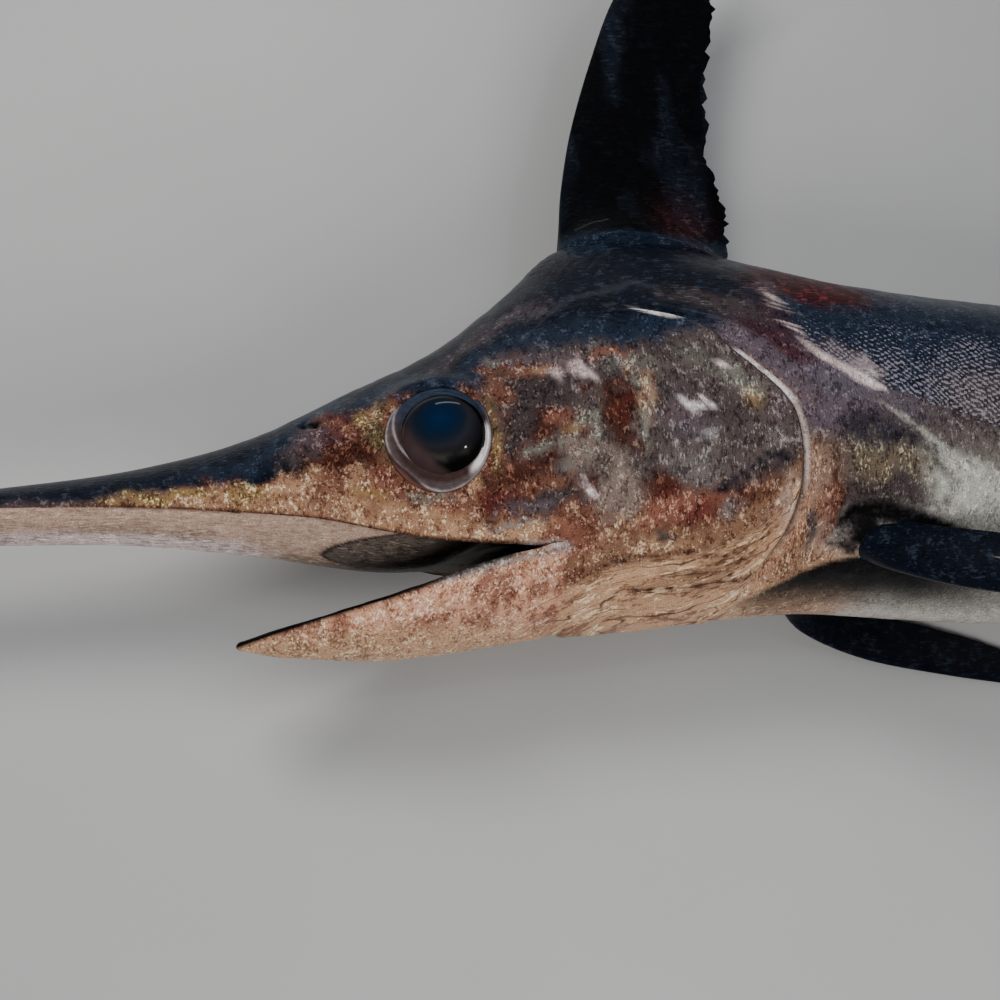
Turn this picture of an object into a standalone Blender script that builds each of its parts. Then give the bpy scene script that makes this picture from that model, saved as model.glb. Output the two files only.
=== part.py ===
"""A life-size swordfish that lies on its right side, as a caught one does.

The bill points along -X, the back along +Y and the left side up, along +Z. The origin is on the
floor, under the middle of the flat on the right flank that carries the fish.

A place on the fish is given by its station, its level and its offset. Stations are metres behind
the hind edge of the gill cover, so the bill and the eyes have negative ones. Levels are metres
towards the back from the body's axis. Offsets are metres from the plane of symmetry, positive on
the left side. The function place turns the three into X, Y and Z.
"""

import bmesh
import bpy
import numpy as np
from mathutils import Matrix, Vector

# Driving dimensions, in metres.
GILL_X = -0.25  # X of the gill cover's hind edge
MIDPLANE_HEIGHT = 0.136  # of the plane of symmetry above the floor, along head and trunk
TAIL_HEIGHT = 0.060  # of that plane at the tail, which droops until its keel rests on the floor
DROOP = (0.50, 1.25)  # stations between which the body bends down
BILL_TIP, JAW_TIP, MOUTH_CORNER, BODY_END = -1.25, -0.527, -0.233, 1.43
THROAT_DEPTH = 0.05  # how far the back of the mouth lies behind its corners
CUT = 0.0005  # width of the cuts that part the body
GAP = 0.0004  # left between a fin or an eye and the body that it sits in

# Profiles of the head and trunk, as pairs of station and level.
TOP = [(-1.25, -0.053), (-1.0, -0.037), (-0.743, -0.020), (-0.609, 0.000), (-0.515, 0.027),
       (-0.416, 0.075), (-0.323, 0.124), (-0.258, 0.176), (-0.205, 0.224), (-0.155, 0.240),
       (-0.08, 0.235), (0.0, 0.216), (0.10, 0.193), (0.313, 0.167), (0.55, 0.143),
       (0.80, 0.109), (1.05, 0.067), (1.20, 0.044), (1.32, 0.034), (1.43, 0.032)]
WIDEST = [(-1.25, -0.057), (-0.743, -0.047), (-0.60, -0.045), (-0.515, -0.040), (-0.45, -0.030),
          (-0.35, -0.008), (-0.25, 0.0), (-0.1, 0.008), (0.1, 0.010), (0.5, 0.0), (1.43, 0.0)]
LIP = [(-1.25, -0.0575), (-0.743, -0.046), (-0.609, -0.0495), (-0.515, -0.057), (-0.451, -0.066),
       (-0.402, -0.078), (-0.363, -0.087), (-0.312, -0.094), (-0.233, -0.100), (-0.05, -0.104),
       (0.3, -0.095), (0.7, -0.070), (1.1, -0.032), (1.43, -0.016)]
BOTTOM = [(-1.25, -0.061), (-1.0, -0.068), (-0.743, -0.0725), (-0.609, -0.0755),
          (-0.515, -0.0885), (-0.40, -0.122), (-0.30, -0.158), (-0.233, -0.172), (-0.15, -0.170),
          (-0.05, -0.160), (0.03, -0.156), (0.12, -0.162), (0.25, -0.171), (0.45, -0.163),
          (0.7, -0.128), (0.95, -0.084), (1.15, -0.048), (1.30, -0.034), (1.43, -0.032)]
# Half widths, and the exponents of the sections' curve, where 2 makes an ellipse.
HALF_WIDTH = [(-1.25, 0.003), (-1.20, 0.010), (-1.0, 0.021), (-0.743, 0.033), (-0.60, 0.041),
              (-0.515, 0.048), (-0.45, 0.060), (-0.35, 0.084), (-0.25, 0.105), (-0.15, 0.121),
              (-0.05, 0.132), (0.1, 0.143), (0.25, 0.147), (0.4, 0.143), (0.6, 0.126),
              (0.8, 0.100), (1.0, 0.068), (1.2, 0.040), (1.32, 0.028), (1.43, 0.010)]
SQUARENESS = [(-1.25, 1.7), (-0.6, 1.75), (-0.35, 1.85), (-0.2, 1.75), (0.0, 1.9), (0.4, 2.05),
              (1.43, 2.0)]

# The mouth, which is open: its roof's height over the lip line, and the lower jaw's profiles.
ROOF = [(-0.527, -0.029), (-0.50, -0.030), (-0.45, -0.031), (-0.40, -0.025), (-0.35, -0.012),
        (-0.29, 0.008), (-0.233, 0.0)]
JAW_EDGE = [(-0.527, -0.170), (-0.462, -0.155), (-0.394, -0.139), (-0.322, -0.120),
            (-0.291, -0.112)]
JAW_BOTTOM = [(-0.527, -0.177), (-0.50, -0.183), (-0.462, -0.187), (-0.394, -0.190),
              (-0.322, -0.184)]
JAW_HALF_WIDTH = [(-0.527, 0.006), (-0.50, 0.021), (-0.462, 0.036), (-0.394, 0.057),
                  (-0.322, 0.078)]
JAW_BLEND = 0.09  # length over which the jaw's section turns into the head's own
JAW_HOLLOW = 0.45  # depth of the mouth's floor, as a share of the jaw's depth

# Lines that part the body, from top to bottom, as pairs of station and level.
HIGH, LOW, FAR = 0.5, -0.5, 1.6
BILL_BASE, VENT, STEM = -0.530, 0.74, 1.10
HEAD_END = [(-0.225, HIGH), (-0.205, 0.20), (-0.150, 0.126), (-0.099, 0.111), (-0.061, 0.076),
            (-0.004, 0.016), (0.0, -0.053), (-0.014, -0.091), (-0.037, -0.124), (-0.055, LOW)]
JAW_HINGE = [(BILL_BASE, -0.12), (-0.37, -0.112), (-0.2325, -0.1003), (-0.205, -0.135),
             (-0.190, LOW)]
GILL_COVER = [(-0.150, 0.116), (-0.172, 0.06), (-0.170, -0.02), (-0.150, -0.085),
              (-0.105, -0.122), (-0.03, -0.131), (0.02, -0.125), (0.03, 0.05), (-0.04, 0.116)]
GILL_PLATE = 0.012  # thickness of a gill cover

# The eyes, which bulge a little: a spheroid's place, radius, half depth and the way it looks.
EYE_CENTRE = (-0.349, 0.003, 0.061)
EYE_RADIUS, EYE_DEPTH = 0.0475, 0.029
EYE_NORMAL = (-0.23, 0.10, 0.96)

# Fins, from root to tip: leading edge and trailing edge, each a station, a level and an offset.
FIRST_DORSAL = [((-0.198, 0.200, 0), (-0.008, 0.195, 0)), ((-0.190, 0.255, 0), (-0.004, 0.240, 0)),
                ((-0.183, 0.303, 0), (-0.009, 0.298, 0)), ((-0.166, 0.374, 0), (-0.014, 0.360, 0)),
                ((-0.136, 0.460, 0), (0.002, 0.462, 0)), ((-0.103, 0.537, 0), (0.014, 0.545, 0)),
                ((-0.058, 0.602, 0), (0.032, 0.603, 0)), ((-0.003, 0.650, 0), (0.055, 0.646, 0)),
                ((0.080, 0.682, 0), (0.086, 0.678, 0))]
SECOND_DORSAL = [((1.185, 0.030, 0), (1.235, 0.022, 0)), ((1.205, 0.060, 0), (1.247, 0.050, 0)),
                 ((1.232, 0.082, 0), (1.263, 0.071, 0)), ((1.283, 0.093, 0), (1.287, 0.089, 0))]
FIRST_ANAL = [((0.765, -0.090, 0), (0.915, -0.070, 0)), ((0.785, -0.145, 0), (0.905, -0.120, 0)),
              ((0.815, -0.200, 0), (0.900, -0.178, 0)), ((0.855, -0.252, 0), (0.912, -0.240, 0)),
              ((0.935, -0.304, 0), (0.941, -0.300, 0))]
CAUDAL_LOBE = [((1.335, 0.003, 0), (1.455, 0.001, 0)), ((1.362, 0.040, 0), (1.462, 0.040, 0)),
               ((1.418, 0.098, 0), (1.484, 0.100, 0)), ((1.475, 0.168, -0.004), (1.520, 0.172, -0.004)),
               ((1.535, 0.250, -0.020), (1.568, 0.255, -0.020)),
               ((1.590, 0.318, -0.043), (1.612, 0.322, -0.043)),
               ((1.640, 0.362, -0.052), (1.645, 0.360, -0.052))]
LEFT_PECTORAL = [((0.045, -0.108, 0.070), (0.070, -0.070, 0.086)),
                 ((0.083, -0.137, 0.101), (0.112, -0.096, 0.120)),
                 ((0.152, -0.163, 0.128), (0.180, -0.114, 0.146)),
                 ((0.250, -0.182, 0.150), (0.270, -0.140, 0.162)),
                 ((0.350, -0.198, 0.161), (0.362, -0.170, 0.168)),
                 ((0.448, -0.216, 0.166), (0.452, -0.210, 0.167))]
RIGHT_PECTORAL = [((0.028, -0.128, -0.052), (0.058, -0.078, -0.078)),
                  ((0.070, -0.158, -0.095), (0.104, -0.108, -0.114)),
                  ((0.150, -0.186, -0.120), (0.178, -0.136, -0.127)),
                  ((0.250, -0.206, -0.1295), (0.270, -0.160, -0.1310)),
                  ((0.350, -0.222, -0.1315), (0.362, -0.192, -0.1320)),
                  ((0.448, -0.236, -0.1330), (0.452, -0.230, -0.1330))]
FIN_EDGE = 0.0008  # thickness of a fin's edges

# The keel on each side of the tail stem: pairs of station and offset, and its thickness.
KEEL = [(1.10, 0.036), (1.18, 0.051), (1.25, 0.0610), (1.34, 0.0615), (1.40, 0.050), (1.445, 0.020)]
KEEL_ROOT, KEEL_EDGE = 0.020, 0.004

# Colours as linear red, green and blue, with roughness.
BACK_SKIN = ((0.012, 0.017, 0.036), 0.35)
CHEEK_SKIN = ((0.150, 0.085, 0.055), 0.45)
GILL_SKIN = ((0.120, 0.080, 0.060), 0.45)
BILL_SKIN = ((0.055, 0.050, 0.060), 0.40)
FLANK_SKIN = ((0.085, 0.085, 0.100), 0.40)
FIN_SKIN = ((0.008, 0.010, 0.018), 0.35)
EYE_GLOSS = ((0.004, 0.012, 0.030), 0.08)


def smooth_line(pairs):
    """A function that runs smoothly through pairs of a station and a value."""
    x = np.array([pair[0] for pair in pairs], float)
    y = np.array([pair[1] for pair in pairs], float)
    shape = (-1,) + (1,) * (y.ndim - 1)
    run = np.diff(x)
    slope = np.diff(y, axis=0) / run.reshape(shape)
    ahead, behind = run[:-1].reshape(shape), run[1:].reshape(shape)
    inner = (slope[:-1] * behind + slope[1:] * ahead) / (ahead + behind)
    tangent = np.concatenate([slope[:1], inner, slope[-1:]])

    def value(at):
        i = int(np.clip(np.searchsorted(x, at) - 1, 0, len(run) - 1))
        t = (at - x[i]) / run[i]
        rise = y[i + 1] - y[i]
        start, end = tangent[i] * run[i], tangent[i + 1] * run[i]
        return y[i] + t * (start + t * (3 * rise - 2 * start - end + t * (start + end - 2 * rise)))

    return value


top, widest, lip, bottom = map(smooth_line, (TOP, WIDEST, LIP, BOTTOM))
half_width, squareness = map(smooth_line, (HALF_WIDTH, SQUARENESS))


def place(station, level, offset):
    """The point in X, Y and Z of a station, a level and an offset."""
    t = np.clip((station - DROOP[0]) / (DROOP[1] - DROOP[0]), 0, 1)
    height = MIDPLANE_HEIGHT + (TAIL_HEIGHT - MIDPLANE_HEIGHT) * t * t * (3 - 2 * t)
    return Vector((GILL_X + station, level, height + offset))


def arc(centre, rise, drop, width, power, angles):
    """A section's left half as pairs of level and offset. Angle 0 is its top and pi its bottom."""
    cos, sin = np.cos(angles), np.sin(angles)
    reach = np.where(cos > 0, rise, drop)
    level = centre + reach * np.sign(cos) * np.abs(cos) ** (2 / power)
    return np.stack([level, width * np.abs(sin) ** (2 / power)], axis=1)


def lip_angle(station):
    """The angle at which the section of this station crosses the lip line."""
    share = (widest(station) - lip(station)) / (widest(station) - bottom(station))
    return np.pi - np.arccos(np.clip(share, 0, 1) ** (squareness(station) / 2))


def side(station, angles, inset):
    """Points on the left side of the section of this station."""
    centre = widest(station)
    width = max(half_width(station) - inset, half_width(station) / 4)
    return arc(centre, top(station) - centre, centre - bottom(station), width,
               squareness(station), angles)


def upper_side(station, columns, inset=0.0):
    """The left side from the back down to the lip line."""
    return side(station, np.linspace(0, lip_angle(station), columns + 1), inset)


def lower_side(station, columns, inset=0.0):
    """The left side from the lip line down to the belly."""
    return side(station, np.linspace(lip_angle(station), np.pi, columns + 1), inset)


corner_level, corner_width = upper_side(MOUTH_CORNER, 1)[-1]
roof = smooth_line(ROOF)
jaw_edge = smooth_line(JAW_EDGE + [(MOUTH_CORNER, corner_level)])
jaw_bottom = smooth_line(JAW_BOTTOM + [(MOUTH_CORNER, bottom(MOUTH_CORNER))])
jaw_half_width = smooth_line(JAW_HALF_WIDTH + [(MOUTH_CORNER, corner_width)])


def hollow(edge, depth, columns):
    """The left side of the mouth's roof or floor, from its edge to the middle."""
    share = np.cos(np.linspace(0, np.pi / 2, columns + 1))
    return np.stack([edge[0] + depth * (1 - share**2), edge[1] * share], axis=1)


def jaw_side(station, columns):
    """The left side of the lower jaw, from its edge down to the chin."""
    ahead = min((MOUTH_CORNER - station) / JAW_BLEND, 1)
    start = lip_angle(MOUTH_CORNER) * (1 - ahead) + np.pi / 2 * ahead
    power = squareness(MOUTH_CORNER)
    edge, chin = jaw_edge(station), jaw_bottom(station)
    drop = (edge - chin) / (1 - np.abs(np.cos(start)) ** (2 / power))
    width = jaw_half_width(station) / np.sin(start) ** (2 / power)
    return arc(chin + drop, drop, drop, width, power, np.linspace(start, np.pi, columns + 1))


def both_sides(left):
    """A line down the left side, carried on up the right side."""
    return np.concatenate([left, left[-2::-1] * (1, -1)])


def ring(upper, lower):
    """A closed section from its upper and lower left sides, which share a point."""
    return both_sides(np.concatenate([upper, lower[1:]]))[:-1]


def add_ring(bm, station, points):
    """New vertices at a station, one for each pair of level and offset."""
    return [bm.verts.new(place(station, level, offset)) for level, offset in points]


def loft(bm, rings):
    """Faces between each closed ring of vertices and the next."""
    for near, far in zip(rings, rings[1:]):
        for i in range(len(near)):
            j = (i + 1) % len(near)
            bm.faces.new((near[i], near[j], far[j]))
            bm.faces.new((near[i], far[j], far[i]))


def rings_between(first, last, count):
    """Evenly spaced stations, without the first."""
    return list(np.linspace(first, last, count + 1)[1:])


UPPER, LOWER = 9, 5  # columns of vertices on each side, above and below the lip line
BILL_STATIONS = [BILL_TIP] + rings_between(BILL_TIP, -0.6, 9) + rings_between(-0.6, JAW_TIP, 2)
MOUTH_STATIONS = [JAW_TIP] + rings_between(JAW_TIP, MOUTH_CORNER, 13)[:-1]
TRUNK_STATIONS = (rings_between(MOUTH_CORNER, 0.06, 13) + rings_between(0.06, STEM, 20)
                  + rings_between(STEM, BODY_END, 8))


def body_mesh(inset=0.0, swell=0.0):
    """Bill, head and trunk as a tube, and the lower jaw as another from the mouth's corners.

    Inset makes the head and trunk narrower, and swell moves the whole surface out."""
    bm = bmesh.new()
    middle = slice(UPPER + 1, UPPER + 2 * LOWER)  # of a ring: what lies between the two lips
    tube = [add_ring(bm, s, ring(upper_side(s, UPPER, inset), lower_side(s, LOWER, inset)))
            for s in BILL_STATIONS[:-1]]
    for s in MOUTH_STATIONS:
        upper = upper_side(s, UPPER, inset)
        tube.append(add_ring(bm, s, ring(upper, hollow(upper[-1], roof(s), LOWER))))
    corner = ring(upper_side(MOUTH_CORNER, UPPER, inset), lower_side(MOUTH_CORNER, LOWER, inset))
    throat = add_ring(bm, MOUTH_CORNER, corner)
    back = both_sides(hollow((corner_level, corner_width), 0.0, LOWER))[1:-1]
    depths = THROAT_DEPTH * np.sin(np.linspace(0, np.pi, 2 * LOWER + 1))[1:-1]
    mouth_back = [bm.verts.new(place(MOUTH_CORNER + depth, level, offset))
                  for depth, (level, offset) in zip(depths, back)]
    loft(bm, tube + [throat[:middle.start] + mouth_back + throat[middle.stop:]])

    jaw = []
    for s in MOUTH_STATIONS:
        outside = jaw_side(s, LOWER)
        depth = JAW_HOLLOW * (jaw_bottom(s) - jaw_edge(s)) * min((MOUTH_CORNER - s) / JAW_BLEND, 1)
        floor = both_sides(hollow(outside[0], depth, LOWER))[1:-1]
        jaw.append(add_ring(bm, s, np.concatenate([both_sides(outside), floor[::-1]])))
    jaw.append(throat[middle.start - 1:middle.stop + 1] + mouth_back[::-1])
    loft(bm, jaw)

    trunk = [add_ring(bm, s, ring(upper_side(s, UPPER, inset), lower_side(s, LOWER, inset)))
             for s in TRUNK_STATIONS]
    loft(bm, [throat] + trunk)
    for end in (tube[0], jaw[0], trunk[-1]):
        bm.faces.new(end)
    grow(bm, swell)
    return bm


def grow(bm, swell):
    """Moves a closed surface out, and presses flat whatever would go below the floor."""
    bmesh.ops.recalc_face_normals(bm, faces=bm.faces)
    bm.normal_update()
    for v in bm.verts:
        v.co += v.normal * swell
        v.co.z = max(v.co.z, -swell)


def grown(outline, margin):
    """The outline, drawn counterclockwise, with each side moved outwards by a margin."""
    points = [Vector(point) for point in outline]
    result = []
    for before, point, after in zip(points[-1:] + points[:-1], points, points[1:] + points[:1]):
        first = (point - before).normalized()
        second = (after - point).normalized()
        out = Vector((first.y + second.y, -first.x - second.x))
        result.append(point + out * (margin / (1 + first.dot(second))))
    return result


def prism_mesh(outline):
    """The outline, in stations and levels, drawn through the whole width of the fish."""
    bm = bmesh.new()
    low, high = -1.0, 1.0
    face = bm.faces.new([bm.verts.new((GILL_X + s, level, low)) for s, level in outline])
    sides = bmesh.ops.extrude_face_region(bm, geom=[face])["geom"]
    bmesh.ops.translate(bm, vec=(0, 0, high - low),
                        verts=[v for v in sides if isinstance(v, bmesh.types.BMVert)])
    return bm


def new_object(name, bm, collection):
    """An object of the mesh, with its faces pointing out and its round stretches smooth."""
    bmesh.ops.recalc_face_normals(bm, faces=bm.faces)
    mesh = bpy.data.meshes.new(name)
    bm.to_mesh(mesh)
    bm.free()
    mesh.shade_smooth()
    mesh.set_sharp_from_angle(angle=0.7)
    obj = bpy.data.objects.new(name, mesh)
    collection.objects.link(obj)
    return obj


def add_part(name, bm, skin):
    """A part of the fish, with a material of its own."""
    obj = new_object(name, bm, parts)
    colour, roughness = skin
    material = bpy.data.materials.new(name)
    material.use_nodes = True
    shader = material.node_tree.nodes["Principled BSDF"]
    shader.inputs["Base Color"].default_value = (*colour, 1)
    shader.inputs["Roughness"].default_value = roughness
    shader.inputs["Metallic"].default_value = 0.0
    obj.data.materials.append(material)
    return obj


def add_cutter(name, bm):
    """A shape that only cuts others, so it is hidden."""
    obj = new_object(name, bm, cutters)
    obj.hide_render = True
    obj.display_type = "WIRE"
    return obj


def cut(obj, cutter, operation="DIFFERENCE"):
    """Cuts the object with another, or keeps what both share."""
    boolean = obj.modifiers.new(cutter.name, "BOOLEAN")
    boolean.operation = operation
    boolean.object = cutter


def body_part(name, outline, skin):
    """The stretch of the body that lies inside an outline."""
    obj = add_part(name, body_mesh(), skin)
    cut(obj, add_cutter(name + "_outline", prism_mesh(grown(outline, -CUT / 2))), "INTERSECT")
    return obj


def slab(first, last):
    """The outline of all that lies between two stations."""
    return [(first, LOW), (last, LOW), (last, HIGH), (first, HIGH)]


def gill_cover(name, sign, head):
    """A gill cover: a plate of the cheek, bounded behind by the head's own hind edge."""
    obj = add_part(name, body_mesh(), GILL_SKIN)
    cut(obj, bpy.data.objects["head_outline"], "INTERSECT")
    cut(obj, gill_layer(name + "_plate", sign, 0.0), "INTERSECT")
    cut(head, gill_layer(name + "_recess", sign, CUT))


def gill_layer(name, sign, margin):
    """The outer layer of one side of the head, inside the gill cover's outline."""
    layer = add_cutter(name, prism_mesh(grown(GILL_COVER, margin)))
    cut(layer, add_cutter(name + "_core", body_mesh(inset=GILL_PLATE + margin)))
    reach = 0.5
    half = bmesh.new()
    bmesh.ops.create_cube(half, size=2 * reach)
    bmesh.ops.translate(half, verts=half.verts, vec=(GILL_X, 0, MIDPLANE_HEIGHT + sign * reach))
    cut(layer, add_cutter(name + "_half", half), "INTERSECT")
    return layer


def eye_mesh(sign, margin):
    """A spheroid that looks sideways, a little forward and up."""
    station, level, offset = EYE_CENTRE
    normal = Vector(EYE_NORMAL)
    normal.z *= sign
    bm = bmesh.new()
    bmesh.ops.create_uvsphere(bm, u_segments=20, v_segments=10, radius=1)
    radius, depth = EYE_RADIUS + margin, EYE_DEPTH + margin
    turn = Vector((0, 0, 1)).rotation_difference(normal).to_matrix().to_4x4()
    scale = Matrix.Diagonal((radius, radius, depth, 1))
    spot = Matrix.Translation(place(station, level, sign * offset))
    bmesh.ops.transform(bm, matrix=spot @ turn @ scale, verts=bm.verts)
    return bm


def add_eye(name, sign, head):
    """An eye, and the socket in the head that it fills."""
    add_part(name, eye_mesh(sign, 0.0), EYE_GLOSS)
    cut(head, add_cutter(name + "_socket", eye_mesh(sign, GAP)))


def fin_mesh(outline, thickness, steps=2, columns=6):
    """A fin that is thickest at its root and thins out to its edges and its tip."""
    lead = smooth_line([(i, row[0]) for i, row in enumerate(outline)])
    trail = smooth_line([(i, row[1]) for i, row in enumerate(outline)])
    rows = np.linspace(0, len(outline) - 1, steps * (len(outline) - 1) + 1)
    across = (1 - np.cos(np.linspace(0, np.pi, columns + 1))) / 2
    grid = np.array([[place(*(lead(row) * (1 - u) + trail(row) * u)) for u in across]
                     for row in rows])
    normal = np.cross(np.gradient(grid, axis=0), np.gradient(grid, axis=1))
    normal /= np.linalg.norm(normal, axis=2, keepdims=True)
    shares = np.linspace(1, 0, len(rows))[:, None] ** 0.7
    swell = FIN_EDGE / 2 + thickness / 2 * shares * (2.6 * np.sqrt(across) * (1 - across))
    near, far = grid + normal * swell[..., None], grid - normal * swell[..., None]
    bm = bmesh.new()
    rings = []
    for row_near, row_far in zip(near, far):
        points = np.concatenate([row_near, row_far[::-1]])
        points[:, 2] = np.maximum(points[:, 2], 0.0005)
        rings.append([bm.verts.new(point) for point in points])
    loft(bm, rings)
    bm.faces.new(rings[0])
    bm.faces.new(rings[-1])
    return bm


def add_fin(name, outline, thickness, skin, carriers):
    """A fin, cut off just above the skin of what carries it."""
    fin = add_part(name, fin_mesh(outline, thickness), skin)
    for carrier in carriers:
        cut(fin, carrier)


def mirrored(outline, axis):
    """A fin's outline on the other side: axis 1 turns levels round, axis 2 offsets."""
    flip = np.ones(3)
    flip[axis] = -1
    return [(np.array(lead) * flip, np.array(trail) * flip) for lead, trail in outline]


def keel_mesh(sign, swell):
    """A ridge along the tail stem, broad and flat."""
    reach = smooth_line(KEEL)
    bm = bmesh.new()
    rings = []
    for station in np.linspace(KEEL[0][0], KEEL[-1][0], 16):
        tip, root = reach(station), 0.3 * half_width(station)
        upper = [(KEEL_ROOT / 2, root), (KEEL_ROOT / 3, (root + tip) / 2), (KEEL_EDGE / 2, tip)]
        profile = upper + [(-level, offset) for level, offset in upper[::-1]]
        rings.append(add_ring(bm, station, [(level, sign * offset) for level, offset in profile]))
    loft(bm, rings)
    bm.faces.new(rings[0])
    bm.faces.new(rings[-1])
    grow(bm, swell)
    return bm


for old in list(bpy.data.objects):
    bpy.data.objects.remove(old, do_unlink=True)
parts = bpy.data.collections.new("swordfish")
cutters = bpy.data.collections.new("cutters")
bpy.context.scene.collection.children.link(parts)
bpy.context.scene.collection.children.link(cutters)

# Body
head_line = [(BILL_BASE, HIGH)] + JAW_HINGE + HEAD_END[::-1]
jaw_line = [(BILL_BASE, LOW)] + JAW_HINGE[::-1]
body_part("bill", slab(BILL_TIP - 1, BILL_BASE), BILL_SKIN)
head_node = body_part("head", head_line, CHEEK_SKIN)
body_part("lower_jaw", jaw_line, CHEEK_SKIN)
body_part("trunk", HEAD_END + [(VENT, LOW), (VENT, HIGH)], FLANK_SKIN)
body_part("tail", slab(VENT, STEM), FLANK_SKIN)
body_part("tail_stem", slab(STEM, FAR), BACK_SKIN)

# Head
for side_name, side_sign in (("left", 1), ("right", -1)):
    gill_cover("gill_cover_" + side_name, side_sign, head_node)
    add_eye("eye_" + side_name, side_sign, head_node)

# Fins and keels
body_and_gap = add_cutter("body_and_gap", body_mesh(swell=GAP))
tail_and_gap = [body_and_gap]
for side_name, side_sign in (("left", 1), ("right", -1)):
    cut(add_part("keel_" + side_name, keel_mesh(side_sign, 0.0), BACK_SKIN), body_and_gap)
    tail_and_gap.append(add_cutter("keel_cutter_" + side_name, keel_mesh(side_sign, GAP)))
add_fin("first_dorsal_fin", FIRST_DORSAL, 0.020, FIN_SKIN, [body_and_gap])
add_fin("second_dorsal_fin", SECOND_DORSAL, 0.006, FIN_SKIN, [body_and_gap])
add_fin("first_anal_fin", FIRST_ANAL, 0.014, FIN_SKIN, [body_and_gap])
add_fin("second_anal_fin", mirrored(SECOND_DORSAL, 1), 0.006, FIN_SKIN, [body_and_gap])
add_fin("pectoral_fin_left", LEFT_PECTORAL, 0.016, FIN_SKIN, [body_and_gap])
add_fin("pectoral_fin_right", RIGHT_PECTORAL, 0.010, FIN_SKIN, [body_and_gap])
add_fin("caudal_fin_upper", CAUDAL_LOBE, 0.014, FIN_SKIN, tail_and_gap)
add_fin("caudal_fin_lower", mirrored(CAUDAL_LOBE, 1), 0.014, FIN_SKIN, tail_and_gap)
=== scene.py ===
# %% [markdown]
# # A caught swordfish, life size
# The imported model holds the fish's true shape as solid parts: bill, head, jaw, trunk, tail, fins
# and eyes. This script gives it its looks: one wet skin over all the flesh, and eyes of its own.
# The fish lies on its right side. +X runs towards the tail, +Y towards the back, +Z is up.

# %% Load the frame
import math

import bmesh
import bpy
import numpy as np
from mathutils import Matrix, Vector


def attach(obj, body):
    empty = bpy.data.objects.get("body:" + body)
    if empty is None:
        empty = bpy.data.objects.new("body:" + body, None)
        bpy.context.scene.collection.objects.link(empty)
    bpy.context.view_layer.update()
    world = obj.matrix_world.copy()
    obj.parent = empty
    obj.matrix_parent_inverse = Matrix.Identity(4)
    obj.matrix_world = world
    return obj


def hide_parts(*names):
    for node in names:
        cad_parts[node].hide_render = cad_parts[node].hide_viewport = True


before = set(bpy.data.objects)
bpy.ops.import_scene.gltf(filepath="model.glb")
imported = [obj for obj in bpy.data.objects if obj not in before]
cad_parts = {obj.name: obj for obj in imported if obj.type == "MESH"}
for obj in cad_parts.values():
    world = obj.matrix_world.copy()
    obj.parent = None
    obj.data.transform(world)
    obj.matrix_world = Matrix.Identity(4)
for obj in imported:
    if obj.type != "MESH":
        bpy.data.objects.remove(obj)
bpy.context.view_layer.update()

# %% [markdown]
# ## Places on a fish
# A fish has no corners to measure from, so a place on it is given as on a chart: its station,
# metres behind the gill cover's hind edge, its level, metres towards the back from the body's
# axis, and its offset from the plane of symmetry. The tail droops until its keel meets the floor.

# %% Stations, levels and offsets
GILL_X = -0.25
MIDPLANE_HEIGHT, TAIL_HEIGHT = 0.136, 0.060
DROOP = (0.50, 1.25)
BILL_TIP, JAW_TIP, MOUTH_CORNER, BODY_END = -1.25, -0.527, -0.233, 1.43


def ramp(value, low, high):
    """Runs smoothly from 0 at low to 1 at high."""
    t = np.clip((value - low) / (high - low), 0, 1)
    return t * t * (3 - 2 * t)


def midplane(station):
    """The height of the plane of symmetry above the floor."""
    return MIDPLANE_HEIGHT + (TAIL_HEIGHT - MIDPLANE_HEIGHT) * ramp(station, *DROOP)


def place(station, level, offset):
    """Points in X, Y and Z from stations, levels and offsets."""
    station, level, offset = np.broadcast_arrays(station, level, offset)
    return np.stack([GILL_X + station, level, midplane(station) + offset], axis=-1)


def smooth_line(pairs):
    """A function that runs smoothly through pairs of a station and a value."""
    x = np.array([pair[0] for pair in pairs], float)
    y = np.array([pair[1] for pair in pairs], float)
    shape = (-1,) + (1,) * (y.ndim - 1)
    run = np.diff(x)
    slope = np.diff(y, axis=0) / run.reshape(shape)
    ahead, behind = run[:-1].reshape(shape), run[1:].reshape(shape)
    inner = (slope[:-1] * behind + slope[1:] * ahead) / (ahead + behind)
    tangent = np.concatenate([slope[:1], inner, slope[-1:]])

    def value(at):
        at = np.asarray(at, float)
        i = np.clip(np.searchsorted(x, at) - 1, 0, len(run) - 1)
        t = ((at - x[i]) / run[i]).reshape(at.shape + (1,) * (y.ndim - 1))
        length = run[i].reshape(t.shape)
        rise = y[i + 1] - y[i]
        start, end = tangent[i] * length, tangent[i + 1] * length
        return y[i] + t * (start + t * (3 * rise - 2 * start - end + t * (start + end - 2 * rise)))

    return value


print("the plane of symmetry lies %.0f mm up at the head" % (1000 * midplane(GILL_X)))

# %% [markdown]
# ## Profiles
# The skin must lie where the solid parts are, so it follows the same profiles: back, belly, lips
# and half widths. Each section is a superellipse, which runs from an oval to a rounded lozenge.

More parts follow.
